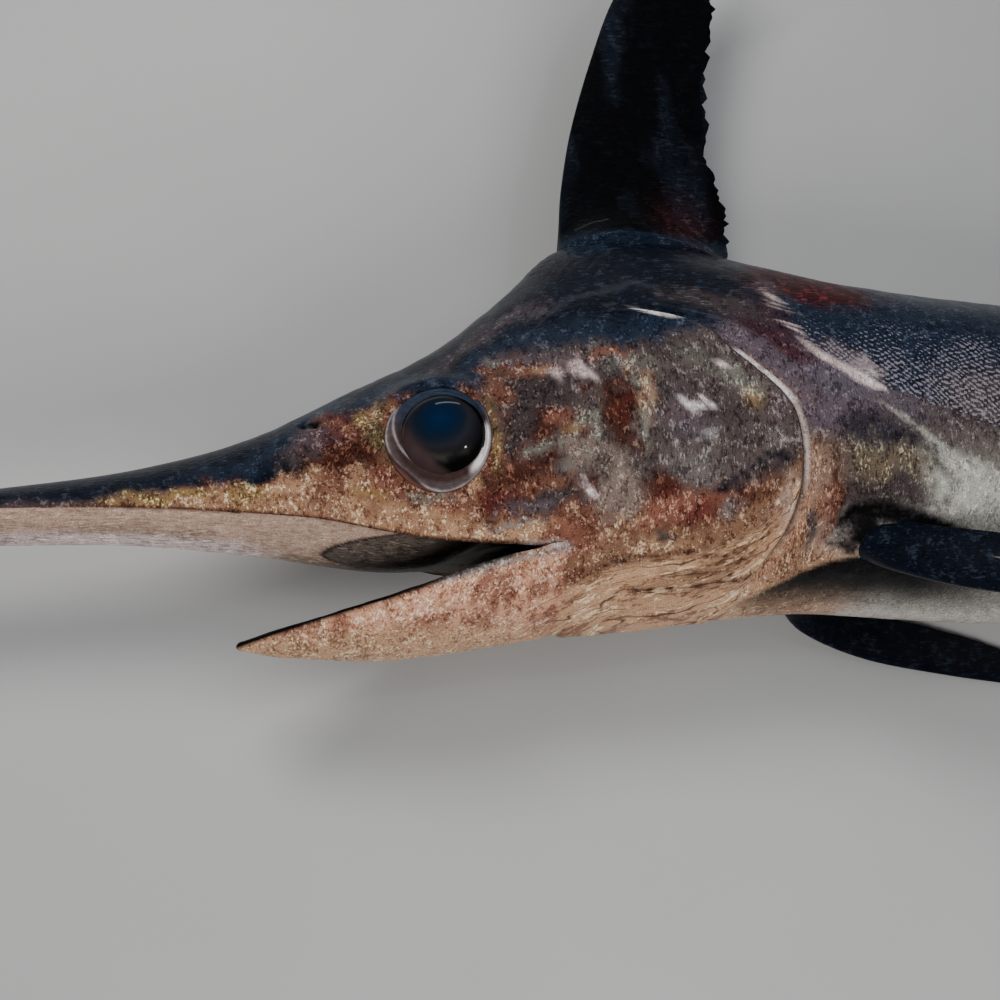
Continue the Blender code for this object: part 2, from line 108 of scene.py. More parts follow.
# %% Profiles of the head, trunk and mouth
top = smooth_line([
    (-1.25, -0.053), (-1.0, -0.037), (-0.743, -0.020), (-0.609, 0.000), (-0.515, 0.027),
    (-0.416, 0.075), (-0.323, 0.124), (-0.258, 0.176), (-0.205, 0.224), (-0.155, 0.240),
    (-0.08, 0.235), (0.0, 0.216), (0.10, 0.193), (0.313, 0.167), (0.55, 0.143),
    (0.80, 0.109), (1.05, 0.067), (1.20, 0.044), (1.32, 0.034), (1.43, 0.032)])
widest = smooth_line([
    (-1.25, -0.057), (-0.743, -0.047), (-0.60, -0.045), (-0.515, -0.040), (-0.45, -0.030),
    (-0.35, -0.008), (-0.25, 0.0), (-0.1, 0.008), (0.1, 0.010), (0.5, 0.0), (1.43, 0.0)])
lip = smooth_line([
    (-1.25, -0.0575), (-0.743, -0.046), (-0.609, -0.0495), (-0.515, -0.057), (-0.451, -0.066),
    (-0.402, -0.078), (-0.363, -0.087), (-0.312, -0.094), (-0.233, -0.100), (-0.05, -0.104),
    (0.3, -0.095), (0.7, -0.070), (1.1, -0.032), (1.43, -0.016)])
bottom = smooth_line([
    (-1.25, -0.061), (-1.0, -0.068), (-0.743, -0.0725), (-0.609, -0.0755), (-0.515, -0.0885),
    (-0.40, -0.122), (-0.30, -0.158), (-0.233, -0.172), (-0.15, -0.170), (-0.05, -0.160),
    (0.03, -0.156), (0.12, -0.162), (0.25, -0.171), (0.45, -0.163), (0.7, -0.128),
    (0.95, -0.084), (1.15, -0.048), (1.30, -0.034), (1.43, -0.032)])
half_width = smooth_line([
    (-1.25, 0.003), (-1.20, 0.010), (-1.0, 0.021), (-0.743, 0.033), (-0.60, 0.041),
    (-0.515, 0.048), (-0.45, 0.060), (-0.35, 0.084), (-0.25, 0.105), (-0.15, 0.121),
    (-0.05, 0.132), (0.1, 0.143), (0.25, 0.147), (0.4, 0.143), (0.6, 0.126),
    (0.8, 0.100), (1.0, 0.068), (1.2, 0.040), (1.32, 0.028), (1.43, 0.010)])
squareness = smooth_line([
    (-1.25, 1.7), (-0.6, 1.75), (-0.35, 1.85), (-0.2, 1.75), (0.0, 1.9), (0.4, 2.05),
    (1.43, 2.0)])
roof = smooth_line([
    (-0.527, -0.029), (-0.50, -0.030), (-0.45, -0.031), (-0.40, -0.025), (-0.35, -0.012),
    (-0.29, 0.008), (-0.233, 0.0)])
gill_edge = smooth_line([  # level and station of the gill cover's hind edge
    (-0.17, -0.062), (-0.124, -0.044), (-0.091, -0.023), (-0.053, -0.012), (-0.020, -0.011),
    (0.016, -0.017), (0.076, -0.066), (0.111, -0.102), (0.128, -0.151), (0.20, -0.153),
    (0.26, -0.153)])


def lip_angle(station):
    """The angle, from the back, at which a section crosses the lip line."""
    share = (widest(station) - lip(station)) / (widest(station) - bottom(station))
    return np.pi - np.arccos(np.clip(share, 0, 1) ** (squareness(station) / 2))


def section(station, angle):
    """Level and half width of the body's surface. Angle 0 is the back and pi the belly."""
    power, centre = squareness(station), widest(station)
    cos, sin = np.cos(angle), np.sin(angle)
    reach = np.where(cos > 0, top(station) - centre, centre - bottom(station))
    level = centre + reach * np.sign(cos) * np.abs(cos) ** (2 / power)
    return level, half_width(station) * np.abs(sin) ** (2 / power)


def surface_offset(station, level):
    """How far out the flank lies at a station and a level."""
    power, centre = squareness(station), widest(station)
    reach = np.where(level > centre, top(station) - centre, centre - bottom(station))
    share = np.clip(np.abs(level - centre) / reach, 0, 1)
    return half_width(station) * (1 - share ** power) ** (1 / power)


CORNER_LEVEL, CORNER_WIDTH = (float(v) for v in section(MOUTH_CORNER, lip_angle(MOUTH_CORNER)))
jaw_edge = smooth_line([
    (-0.527, -0.170), (-0.462, -0.155), (-0.394, -0.139), (-0.322, -0.120), (-0.291, -0.112),
    (MOUTH_CORNER, CORNER_LEVEL)])
jaw_bottom = smooth_line([
    (-0.527, -0.177), (-0.50, -0.183), (-0.462, -0.187), (-0.394, -0.190), (-0.322, -0.184),
    (MOUTH_CORNER, float(bottom(MOUTH_CORNER)))])
jaw_half_width = smooth_line([
    (-0.527, 0.006), (-0.50, 0.021), (-0.462, 0.036), (-0.394, 0.057), (-0.322, 0.078),
    (MOUTH_CORNER, CORNER_WIDTH)])
print("the mouth's corners lie at level %.3f, %.3f m out" % (CORNER_LEVEL, CORNER_WIDTH))

# %% [markdown]
# ## The camera
# It looks down on the head from the belly side, as the photograph does, from 1.5 m.

# %% Camera
CAMERA_TARGET = place(-0.274, -0.035, 0.0)
CAMERA_DISTANCE, CAMERA_VIEW = 1.512, math.radians(36)
CAMERA_YAW, CAMERA_PITCH, CAMERA_ROLL = math.radians(14), math.radians(15), math.radians(-4.29)


def add_camera():
    """Adds the scene's camera. Roll turns it about its own line of sight."""
    back = Vector((-math.sin(CAMERA_YAW) * math.cos(CAMERA_PITCH), -math.sin(CAMERA_PITCH),
                   math.cos(CAMERA_YAW) * math.cos(CAMERA_PITCH)))
    level_right = Vector((0, 1, 0)).cross(back).normalized()
    turn = Matrix.Rotation(CAMERA_ROLL, 3, back)
    right = turn @ level_right
    up = turn @ back.cross(level_right)
    data = bpy.data.cameras.new("camera")
    data.angle = CAMERA_VIEW
    camera = bpy.data.objects.new("camera", data)
    bpy.context.scene.collection.objects.link(camera)
    camera.matrix_world = Matrix((right, up, back)).transposed().to_4x4()
    camera.location = Vector(CAMERA_TARGET) + back * CAMERA_DISTANCE
    bpy.context.scene.camera = camera
    return camera


camera = add_camera()
print("the camera stands at", [round(x, 3) for x in camera.location])

# %% [markdown]
# ## Noise
# Nothing on an animal is even. A lattice of random numbers, blended smoothly, bends the edges of
# the markings and gives the flesh its low swellings. Several sizes added up look natural.

# %% Smooth noise
LATTICE = np.random.default_rng(7).uniform(-1, 1, (32, 32, 32))


def noise(points, size, shift=0.0):
    """Values between -1 and 1 that change over about one size, in metres."""
    p = points / size + shift
    low = np.floor(p).astype(int)
    t = p - low
    t = t * t * (3 - 2 * t)
    total = np.zeros(points.shape[:-1])
    for corner in np.ndindex(2, 2, 2):
        weight = np.prod(np.where(corner, t, 1 - t), axis=-1)
        i, j, k = np.moveaxis((low + corner) % len(LATTICE), -1, 0)
        total += weight * LATTICE[i, j, k]
    return total


def rough_noise(points, size, shift=0.0, layers=3):
    """Noise with finer noise on it, each layer half as large as the one before."""
    return sum(noise(points, size / 2**i, shift + 5.7 * i) / 2**i for i in range(layers)) / 1.5


print("the lattice holds", LATTICE.size, "random numbers")

# %% [markdown]
# ## The skin as a net
# One closed net of four-sided meshes covers the body. It could be a primitive cage with a
# subdivision, but then no edge would follow the gill slit or the lips. So the net is laid ring by
# ring, from the bill's tip to the tail. Where the mouth opens, the rings split in two: one runs
# round the snout and the roof of the mouth, the other round the lower jaw. The left side faces
# up, so it gets more columns. Rings near the gill cover bend to run along its edge.

# %% Rings and columns
LEFT_UPPER, LEFT_LOWER, RIGHT_LOWER, RIGHT_UPPER = 68, 34, 16, 28
COLUMNS = LEFT_UPPER + LEFT_LOWER + RIGHT_LOWER + RIGHT_UPPER
LEFT_LIP, RIGHT_LIP = LEFT_UPPER, LEFT_UPPER + LEFT_LOWER + RIGHT_LOWER
share_down = np.concatenate([  # 0 to 1 from back to lip, and 1 to 2 from lip to belly
    np.linspace(0, 1, LEFT_UPPER + 1), np.linspace(1, 2, LEFT_LOWER + 1)[1:],
    np.linspace(2, 1, RIGHT_LOWER + 1)[1:], np.linspace(1, 0, RIGHT_UPPER + 1)[1:-1]])
column_side = np.where(np.arange(COLUMNS) <= LEFT_UPPER + LEFT_LOWER, 1.0, -1.0)
below_lip = slice(LEFT_LIP + 1, RIGHT_LIP)


def stations_between(first, last, step):
    """Stations about a step apart, without the first."""
    return list(np.linspace(first, last, max(2, round((last - first) / step)) + 1)[1:])


bill_stations = [BILL_TIP] + stations_between(BILL_TIP, -0.60, 0.010)
bill_stations += stations_between(-0.60, JAW_TIP, 0.003)
mouth_stations = [JAW_TIP] + stations_between(JAW_TIP, MOUTH_CORNER, 0.003)[:-1]
cheek_stations = stations_between(MOUTH_CORNER, -0.006, 0.0028) + [-0.003, -0.001, 0.0]
trunk_stations = [0.0006, 0.002, 0.005] + stations_between(0.005, 0.30, 0.0045)
trunk_stations += stations_between(0.30, BODY_END, 0.012)


def bend(station):
    """How much a ring follows the gill cover's edge."""
    ahead = np.clip((station - MOUTH_CORNER) / -MOUTH_CORNER, 0, 1)
    ahead = 0.7 * ahead + 0.3 * ahead * ahead * (3 - 2 * ahead)
    return ahead * (1 - ramp(station, 0.0, 0.30))


def outside_ring(station):
    """A ring round the body: station, level and offset of each column."""
    angle = np.where(share_down <= 1, share_down * lip_angle(station),
                     lip_angle(station) + (share_down - 1) * (np.pi - lip_angle(station)))
    bent = np.full(COLUMNS, float(station))
    for _ in range(3):
        level, width = section(bent, angle)
        bent = station + bend(station) * gill_edge(level)
    level, width = section(bent, angle)
    return np.stack([bent, level, width * column_side], axis=1)


ROOF_STARTS, ROOF_OPEN = -0.575, -0.50  # where the bill's underside turns into the mouth's roof


def mouth_ring(station):
    """A ring round the snout and the roof of the mouth."""
    ring = outside_ring(station)
    share = np.cos((share_down[below_lip] - 1) * np.pi / 2)
    lip_level, lip_width = ring[LEFT_LIP, 1], ring[LEFT_LIP, 2]
    inside = np.stack([np.full(share.shape, station),
                       lip_level + roof(station) * (1 - share**2),
                       lip_width * share * column_side[below_lip]], axis=1)
    opened = ramp(station, ROOF_STARTS, ROOF_OPEN)
    ring[below_lip] = ring[below_lip] * (1 - opened) + inside * opened
    return ring


JAW_BLEND, JAW_HOLLOW, THROAT_DEPTH = 0.09, 0.45, 0.05


def jaw_ring(station):
    """A ring round the lower jaw: its outside from lip to lip, then its floor back again."""
    ahead = min((MOUTH_CORNER - station) / JAW_BLEND, 1)
    start = lip_angle(MOUTH_CORNER) * (1 - ahead) + np.pi / 2 * ahead
    power = squareness(MOUTH_CORNER)
    outer = slice(LEFT_LIP, RIGHT_LIP + 1)
    angle = start + (share_down[outer] - 1) * (np.pi - start)
    edge, chin = jaw_edge(station), jaw_bottom(station)
    drop = (edge - chin) / (1 - np.abs(np.cos(start)) ** (2 / power))
    level = chin + drop - drop * np.abs(np.cos(angle)) ** (2 / power)
    width = jaw_half_width(station) * (np.abs(np.sin(angle)) / np.sin(start)) ** (2 / power)
    side = column_side[outer].copy()
    side[-1] = -1.0
    outside = np.stack([np.full(level.shape, station), level, width * side], axis=1)
    share = np.cos((share_down[below_lip] - 1) * np.pi / 2)
    depth = JAW_HOLLOW * (chin - edge) * ahead
    floor = np.stack([np.full(share.shape, station), edge + depth * (1 - share**2),
                      jaw_half_width(station) * share * column_side[below_lip]], axis=1)
    return np.concatenate([outside, floor[::-1]])


def mouth_back():
    """The line across the back of the mouth, behind its corners."""
    share = np.cos((share_down[below_lip] - 1) * np.pi / 2) * column_side[below_lip]
    station = MOUTH_CORNER + THROAT_DEPTH * (1 - share**2)
    return np.stack([station, np.full(share.shape, CORNER_LEVEL), CORNER_WIDTH * share], axis=1)


print("a ring round the body has", COLUMNS, "columns")

# %% [markdown]
# Each vertex also remembers where in the net it lies, because relief and paint need to know: the
# nominal station of its ring, which is 0 all along the gill cover's edge, and its part of the
# fish.

# %% Lay the net
OUTSIDE, ROOF, JAW, FLOOR, FIN = range(5)
spots, nominal, part, faces = [], [], [], []


def add_points(points, station, kind):
    """Adds vertices to the net, and returns their numbers."""
    first = len(nominal)
    spots.extend(points)
    nominal.extend([station] * len(points))
    part.extend(kind if isinstance(kind, list) else [kind] * len(points))
    return list(range(first, first + len(points)))


def join_rings(rings):
    """Four-sided meshes between each closed ring and the next."""
    for near, far in zip(rings, rings[1:]):
        for i in range(len(near)):
            j = (i + 1) % len(near)
            faces.append((near[i], near[j], far[j], far[i]))


def close_end(ring, depth):
    """Rounds off an end of the net with smaller and smaller rings."""
    points = np.array([spots[i] for i in ring])
    centre = points.mean(axis=0)
    kind = [part[i] for i in ring]
    rings = [ring]
    for angle in np.radians((25, 50, 70, 83)):
        smaller = centre + (points - centre) * math.cos(angle)
        smaller[:, 0] += depth * math.sin(angle)
        rings.append(add_points(smaller, nominal[ring[0]], kind))
    join_rings(rings)
    faces.append(tuple(rings[-1]))


def lay_net():
    """Lays the snout, the lower jaw and the trunk, which meet at the mouth's corners."""
    mouth_kinds = [OUTSIDE] * COLUMNS
    mouth_kinds[below_lip] = [ROOF] * (RIGHT_LIP - LEFT_LIP - 1)
    snout = [add_points(outside_ring(s), s, OUTSIDE) for s in bill_stations[:-1]
             if s < ROOF_STARTS]
    snout += [add_points(mouth_ring(s), s, OUTSIDE) for s in bill_stations[:-1]
              if s >= ROOF_STARTS]
    snout += [add_points(mouth_ring(s), s, mouth_kinds) for s in mouth_stations]
    throat = add_points(outside_ring(MOUTH_CORNER), MOUTH_CORNER, OUTSIDE)
    back = add_points(mouth_back(), MOUTH_CORNER, ROOF)
    join_rings(snout + [throat[:LEFT_LIP + 1] + back + throat[RIGHT_LIP:]])
    outer = RIGHT_LIP - LEFT_LIP + 1
    jaw_kinds = [JAW] * outer + [FLOOR] * (outer - 2)
    jaw = [add_points(jaw_ring(s), s, jaw_kinds) for s in mouth_stations]
    join_rings(jaw + [throat[LEFT_LIP:RIGHT_LIP + 1] + back[::-1]])
    trunk = [throat] + [add_points(outside_ring(s), s, OUTSIDE)
                        for s in cheek_stations + trunk_stations]
    join_rings(trunk)
    close_end(snout[0], -0.004)
    close_end(jaw[0], -0.006)
    close_end(trunk[-1], 0.003)


lay_net()
print("the body's net has", len(nominal), "vertices and", len(faces), "meshes")

# %% [markdown]
# ## Fins
# A billfish's fins are stiff, close-rayed blades, thick where they grow from the body and thin at
# their edges. Each is laid from its leading and trailing edge, with a foot that flares into the
# skin, so no join shows. The hind edges are ragged, because the rays wear at their tips.

# %% Fin outlines, from root to tip
first_dorsal = [
    ((-0.198, 0.200, 0), (-0.008, 0.195, 0)), ((-0.190, 0.255, 0), (-0.004, 0.240, 0)),
    ((-0.183, 0.303, 0), (-0.009, 0.298, 0)), ((-0.166, 0.374, 0), (-0.014, 0.360, 0)),
    ((-0.136, 0.460, 0), (0.002, 0.462, 0)), ((-0.103, 0.537, 0), (0.014, 0.545, 0)),
    ((-0.058, 0.602, 0), (0.032, 0.603, 0)), ((-0.003, 0.650, 0), (0.055, 0.646, 0)),
    ((0.080, 0.682, 0), (0.086, 0.678, 0))]
second_dorsal = [
    ((1.185, 0.030, 0), (1.235, 0.022, 0)), ((1.205, 0.060, 0), (1.247, 0.050, 0)),
    ((1.232, 0.082, 0), (1.263, 0.071, 0)), ((1.283, 0.093, 0), (1.287, 0.089, 0))]
first_anal = [
    ((0.765, -0.090, 0), (0.915, -0.070, 0)), ((0.785, -0.145, 0), (0.905, -0.120, 0)),
    ((0.815, -0.200, 0), (0.900, -0.178, 0)), ((0.855, -0.252, 0), (0.912, -0.240, 0)),
    ((0.935, -0.304, 0), (0.941, -0.300, 0))]
caudal_lobe = [
    ((1.335, 0.003, 0), (1.455, 0.001, 0)), ((1.362, 0.040, 0), (1.462, 0.040, 0)),
    ((1.418, 0.098, 0), (1.484, 0.100, 0)), ((1.475, 0.168, -0.004), (1.520, 0.172, -0.004)),
    ((1.535, 0.250, -0.020), (1.568, 0.255, -0.020)),
    ((1.590, 0.318, -0.043), (1.612, 0.322, -0.043)),
    ((1.640, 0.362, -0.052), (1.645, 0.360, -0.052))]
left_pectoral = [
    ((0.045, -0.108, 0.070), (0.070, -0.070, 0.086)),
    ((0.083, -0.137, 0.101), (0.112, -0.096, 0.120)),
    ((0.152, -0.163, 0.128), (0.180, -0.114, 0.146)),
    ((0.250, -0.182, 0.150), (0.270, -0.140, 0.162)),
    ((0.350, -0.198, 0.161), (0.362, -0.170, 0.168)),
    ((0.448, -0.216, 0.166), (0.452, -0.210, 0.167))]
right_pectoral = [
    ((0.028, -0.128, -0.052), (0.058, -0.078, -0.078)),
    ((0.070, -0.158, -0.095), (0.104, -0.108, -0.114)),
    ((0.150, -0.186, -0.120), (0.178, -0.136, -0.127)),
    ((0.250, -0.206, -0.1295), (0.270, -0.160, -0.1310)),
    ((0.350, -0.222, -0.1315), (0.362, -0.192, -0.1320)),
    ((0.448, -0.236, -0.1330), (0.452, -0.230, -0.1330))]


def turned(outline):
    """The outline on the other side of the body's axis."""
    flip = np.array((1, -1, 1))
    return [(np.array(lead) * flip, np.array(trail) * flip) for lead, trail in outline]


print("the first dorsal fin's tip lies at level", first_dorsal[-1][0][1])

# %% Lay the fins
FIN_EDGE, FOOT_HEIGHT = 0.0008, 0.018
RAY_SPACING, RAY_HEIGHT = 0.006, 0.00022
PECTORAL_FOOT = 0.030  # length of the foot on a fin that doesn't stand on the plane of symmetry
LARGE_TEETH, SMALL_TEETH = 9, 26  # of a worn edge, between two pairs of its outline
ray = {}  # distance across the rays, for each vertex of a fin


def lay_fin(outline, thickness, rows, columns, foot=0.012, ragged=0.0):
    """Adds a fin to the net, as one closed blade."""
    count = np.arange(len(outline))
    lead = smooth_line(list(zip(count, [row[0] for row in outline])))
    trail = smooth_line(list(zip(count, [row[1] for row in outline])))
    down = np.linspace(0, len(outline) - 1, rows)
    across = (1 - np.cos(np.linspace(0, np.pi, columns))) / 2
    edges = trail(down)
    worn = np.clip(down / 1.5, 0, 1) * (down < len(outline) - 1.3)
    tooth = noise(np.outer(down, (LARGE_TEETH, 0, 0)), 1.0, 3.3)
    tooth += 0.5 * noise(np.outer(down, (SMALL_TEETH, 0, 0)), 1.0, 8.1)
    edges[:, 0] += ragged * worn * (tooth + 0.1)
    grid = lead(down)[:, None] * (1 - across[:, None]) + edges[:, None] * across[:, None]
    points = place(grid[..., 0], grid[..., 1], grid[..., 2])
    normal = np.cross(np.gradient(points, axis=0), np.gradient(points, axis=1))
    normal /= np.linalg.norm(normal, axis=2, keepdims=True)
    length = np.linalg.norm(grid - grid[:1], axis=2)
    chord = np.linalg.norm(edges - lead(down), axis=1)
    lens = 2.6 * np.sqrt(across) * (1 - across)
    taper = np.linspace(1, 0, rows)[:, None] ** 0.7
    above = np.abs(grid[..., 1]) - np.where(grid[..., 1] > 0, top(grid[..., 0]),
                                            -bottom(grid[..., 0]))
    if abs(outline[0][0][2]) > 0:
        above = length - PECTORAL_FOOT
    flare = foot * np.exp(-np.maximum(above, 0) / FOOT_HEIGHT) * np.sqrt(np.sin(np.pi * across))
    swell = FIN_EDGE / 2 + thickness / 2 * taper * lens + flare
    distance = across * chord[:, None]
    ridges = RAY_HEIGHT * np.sin(2 * np.pi * distance / RAY_SPACING) * np.clip(length / 0.05, 0, 1)
    swell += ridges * np.minimum(lens, 1)
    near = points + normal * swell[..., None]
    far = points - normal * swell[..., None]
    rings = []
    for row in range(rows):
        blade = np.concatenate([near[row], far[row, ::-1]])
        blade[:, 0] -= GILL_X
        blade[:, 2] = np.maximum(blade[:, 2], 0.0005) - midplane(blade[:, 0])
        numbers = add_points(blade, grid[row].mean(), FIN)
        for number, value in zip(numbers, np.concatenate([distance[row], distance[row, ::-1]])):
            ray[number] = value
        rings.append(numbers)
    join_rings(rings)
    faces.append(tuple(rings[0]))
    faces.append(tuple(rings[-1]))


lay_fin(first_dorsal, 0.016, rows=110, columns=40, foot=0.030, ragged=0.009)
lay_fin(second_dorsal, 0.006, rows=24, columns=14, foot=0.006)
lay_fin(turned(second_dorsal), 0.006, rows=24, columns=14, foot=0.006)
lay_fin(first_anal, 0.014, rows=46, columns=24, foot=0.012, ragged=0.006)
lay_fin(left_pectoral, 0.016, rows=64, columns=22, foot=0.008, ragged=0.004)
lay_fin(right_pectoral, 0.010, rows=40, columns=16, foot=0.004, ragged=0.004)
lay_fin(caudal_lobe, 0.014, rows=60, columns=20, foot=0.006, ragged=0.006)
lay_fin(turned(caudal_lobe), 0.014, rows=60, columns=20, foot=0.006, ragged=0.006)
print("the fins have", len(ray), "vertices")

# %% [markdown]
# A keel is a flat ridge of stiff skin on each side of the tail stem, which steadies the tail. It
# is a row of thin rings too, so that it shares the skin's paint and material.

# %% Lay the keels
KEEL_FROM, KEEL_TO = 1.10, 1.445
keel_reach = smooth_line([(1.10, 0.036), (1.18, 0.051), (1.25, 0.0610), (1.34, 0.0615),
                          (1.40, 0.050), (1.445, 0.020)])


def lay_keel(sign, rows=50, points=8):
    """Adds the flat ridge on one side of the tail stem."""
    rings = []
    for station in np.linspace(KEEL_FROM, KEEL_TO, rows):
        root, tip = 0.3 * half_width(station), keel_reach(station)
        share = np.linspace(0, 1, points)
        level = 0.002 + 0.009 * (1 - share) ** 1.5
        offset = root + (tip - root) * np.sin(share * np.pi / 2)
        upper = np.stack([np.full(points, station), level, sign * offset], axis=1)
        ring = np.concatenate([upper, upper[::-1] * (1, -1, 1)])
        rings.append(add_points(ring, station, FIN))
    join_rings(rings)
    faces.append(tuple(rings[0]))
    faces.append(tuple(rings[-1]))


lay_keel(1)
lay_keel(-1)
spot = np.array(spots)
nominal = np.array(nominal)
part = np.array(part)
ray_across = np.zeros(len(part))
ray_across[list(ray)] = list(ray.values())
station, level, offset = spot.T.copy()
print("with its fins the skin has", len(part), "vertices and", len(faces), "meshes")

# %% [markdown]
# ## Relief
# Flesh lies over bone, and the bone shows through: the rim of the orbit, the gill cover's plate
# with its slit behind, the folds of the throat. They could be sculpted or left to bump, but bump
# has no outline. So each is added along the surface's own normals, in tenths of a millimetre to
# millimetres. Points that would sink into the floor are pressed flat.

# %% Make the mesh
EYE_STATION, EYE_LEVEL = -0.349, 0.005
EYE_LOOK = np.array((-0.23, 0.10, 0.96))
EYE_LOOK = EYE_LOOK / np.linalg.norm(EYE_LOOK)
ORBIT_RADII = np.array((0.0503, 0.0545))  # lengthwise and upright
eye_height = float(surface_offset(EYE_STATION, EYE_LEVEL))


def mesh_from_net(name, points, polygons):
    """Adds an object with a new mesh."""
    mesh = bpy.data.meshes.new(name)
    mesh.from_pydata([tuple(p) for p in points], [], polygons)
    mesh.validate()
    piece = bpy.data.objects.new(name, mesh)
    bpy.context.scene.collection.objects.link(piece)
    return piece


def vertex_normals(mesh):
    """The directions in which the mesh's vertices face."""
    values = np.empty(len(mesh.vertices) * 3)
    mesh.vertices.foreach_get("normal", values)
    return values.reshape(-1, 3)


def face_outwards(piece):
    """Turns each closed part of a mesh the right way out."""
    bm = bmesh.new()
    bm.from_mesh(piece.data)
    bmesh.ops.recalc_face_normals(bm, faces=bm.faces)
    bm.to_mesh(piece.data)
    bm.free()


world = place(station, level, offset)
skin = mesh_from_net("skin", world, faces)
face_outwards(skin)
print("the skin's mesh has", len(skin.data.polygons), "faces")

# %% Measures for relief and paint
body = part != FIN
outside = (part == OUTSIDE) | (part == JAW)
eye_distance = np.linalg.norm(
    np.stack([station - EYE_STATION, level - EYE_LEVEL,
              (np.abs(offset) - eye_height) * 0.6], axis=1), axis=1)


def band(value, centre, width):
    """A soft line: 1 at the centre and 0 a width or two away."""
    return np.exp(-(((value - centre) / width) ** 2))


FOLD_SPACING, FOLD_HEIGHT = 0.0095, 0.0012
fold_edge = smooth_line([  # station and level of the uppermost fold of the throat
    (-0.32, -0.172), (-0.263, -0.150), (-0.224, -0.134), (-0.187, -0.121), (-0.150, -0.115),
    (-0.092, -0.106), (-0.060, -0.094), (-0.036, -0.076), (-0.022, -0.062), (0.0, -0.030)])
wander = np.stack([rough_noise(world, 0.030, 1.5), rough_noise(world, 0.030, 20.1)], axis=1)
under_fold = fold_edge(np.clip(station, -0.32, 0.0)) - level + 0.002 * wander[:, 0]
fold_place = ramp(under_fold, -0.004, 0.004) * ramp(station, -0.30, -0.22)
fold_place *= (1 - ramp(nominal, -0.004, 0.003)) * outside
print("the throat's folds cover", np.count_nonzero(fold_place > 0.5), "vertices")

# %% Relief
NOSTRIL_PITS = ((-0.468, 0.031), (-0.4575, 0.0295))


def relief():
    """How far out each vertex of the skin moves, in metres."""
    rise = 0.0014 * rough_noise(world, 0.07) + 0.0006 * rough_noise(world, 0.018, 9.1)
    rise *= ramp(station, -0.62, -0.45)
    # The gill cover stands off the body, and the slit behind it is a groove between two ridges.
    slit = ramp(level, -0.150, -0.105) * (1 - ramp(level, 0.118, 0.134))
    rise += 0.0052 * slit * ramp(nominal, -0.09, 0.0) * (nominal <= 0)
    rise -= 0.0040 * slit * band(nominal, 0.0014, 0.0028) * (nominal > 0)
    rise += 0.0016 * slit * band(nominal, 0.0075, 0.0035) * (nominal > 0)
    rise -= 0.0022 * slit * band(nominal, 0.0160, 0.0050)
    rise += 0.0030 * slit * band(nominal, 0.0300, 0.0100)
    # A shallow groove parts the cheek from the gill cover's plate.
    groove = np.interp(level, [-0.08, -0.04, 0.01, 0.05, 0.075],
                       [-0.120, -0.160, -0.158, -0.164, -0.190])
    groove_place = ramp(level, -0.08, -0.05) * (1 - ramp(level, 0.06, 0.085))
    rise -= 0.0020 * groove_place * band(station - groove, 0.003 * wander[:, 0], 0.006)
    rise += 0.0016 * groove_place * band(station - groove, 0.012, 0.006)
    # The orbit has a rim, a furrow under it and a brow over it. Behind it the cheek is hollow.
    rise += 0.0018 * band(eye_distance, 0.056, 0.005)
    rise -= 0.0014 * band(eye_distance, 0.066, 0.006) * (level < 0.02)
    rise += 0.0040 * ramp(level, 0.020, 0.050) * band(eye_distance, 0.060, 0.010)
    rise -= 0.0030 * band(np.hypot(station + 0.215, 0.6 * (level + 0.015)), 0.0, 0.035)
    # The lips are rounded edges, and a fold of skin lies over the mouth's corner.
    edge = np.abs(np.where(part == JAW, level - jaw_edge(station), level - lip(station)))
    in_mouth = (1 - ramp(station, -0.25, MOUTH_CORNER)) * ramp(station, -0.60, -0.50)
    rise += 0.0014 * band(edge, 0.0, 0.005) * in_mouth * outside
    rise -= 0.0014 * band(edge, 0.012, 0.004) * in_mouth * (part == OUTSIDE)
    fold = np.hypot((station + 0.245) / 0.022, (level - lip(station) + 0.002) / 0.005)
    rise += 0.0030 * band(fold, 0.0, 1.0) * outside
    # Two nostrils, the hollow in front of the pectoral fin, and ripples under the dorsal fin.
    for pit in NOSTRIL_PITS:
        rise -= 0.0045 * band(np.hypot(station - pit[0], level - pit[1]), 0.0, 0.0032)
    socket = np.hypot((station - 0.048) / 0.026, (level + 0.084) / 0.013)
    rise -= 0.010 * band(socket, 0.0, 1.0)
    tissue = ramp(level, 0.17, 0.20) * band(station, -0.12, 0.10)
    rise += 0.0010 * tissue * np.sin(level / 0.0011 + 3 * wander[:, 1])
    return rise * outside


crease = np.sin(2 * np.pi * (under_fold + 0.004 * wander[:, 1]) / FOLD_SPACING)
rise = relief() + FOLD_HEIGHT * fold_place * crease * (0.6 + 0.6 * wander[:, 0])
moved = world + vertex_normals(skin.data) * rise[:, None]
moved[:, 2] = np.maximum(moved[:, 2], 0.0)
skin.data.vertices.foreach_set("co", moved.ravel())
skin.data.update()
print("relief from %.1f to %.1f mm" % (rise.min() * 1000, rise.max() * 1000))

# %% [markdown]
# ## Paint
# A museum's painter airbrushes a cast in layers: the ground first, then patches, then flecks. Each
# pigment here is three tones, a deep one, a main one and a pale one for the flecks, and every
# vertex of the skin carries the three. The skin's material then breaks them up into granules and
# streaks a few millimetres long. An image would have to be unwrapped round the mouth, the slit
# and the fins. Paint on the vertices needs no such map, and the net is fine enough for it.

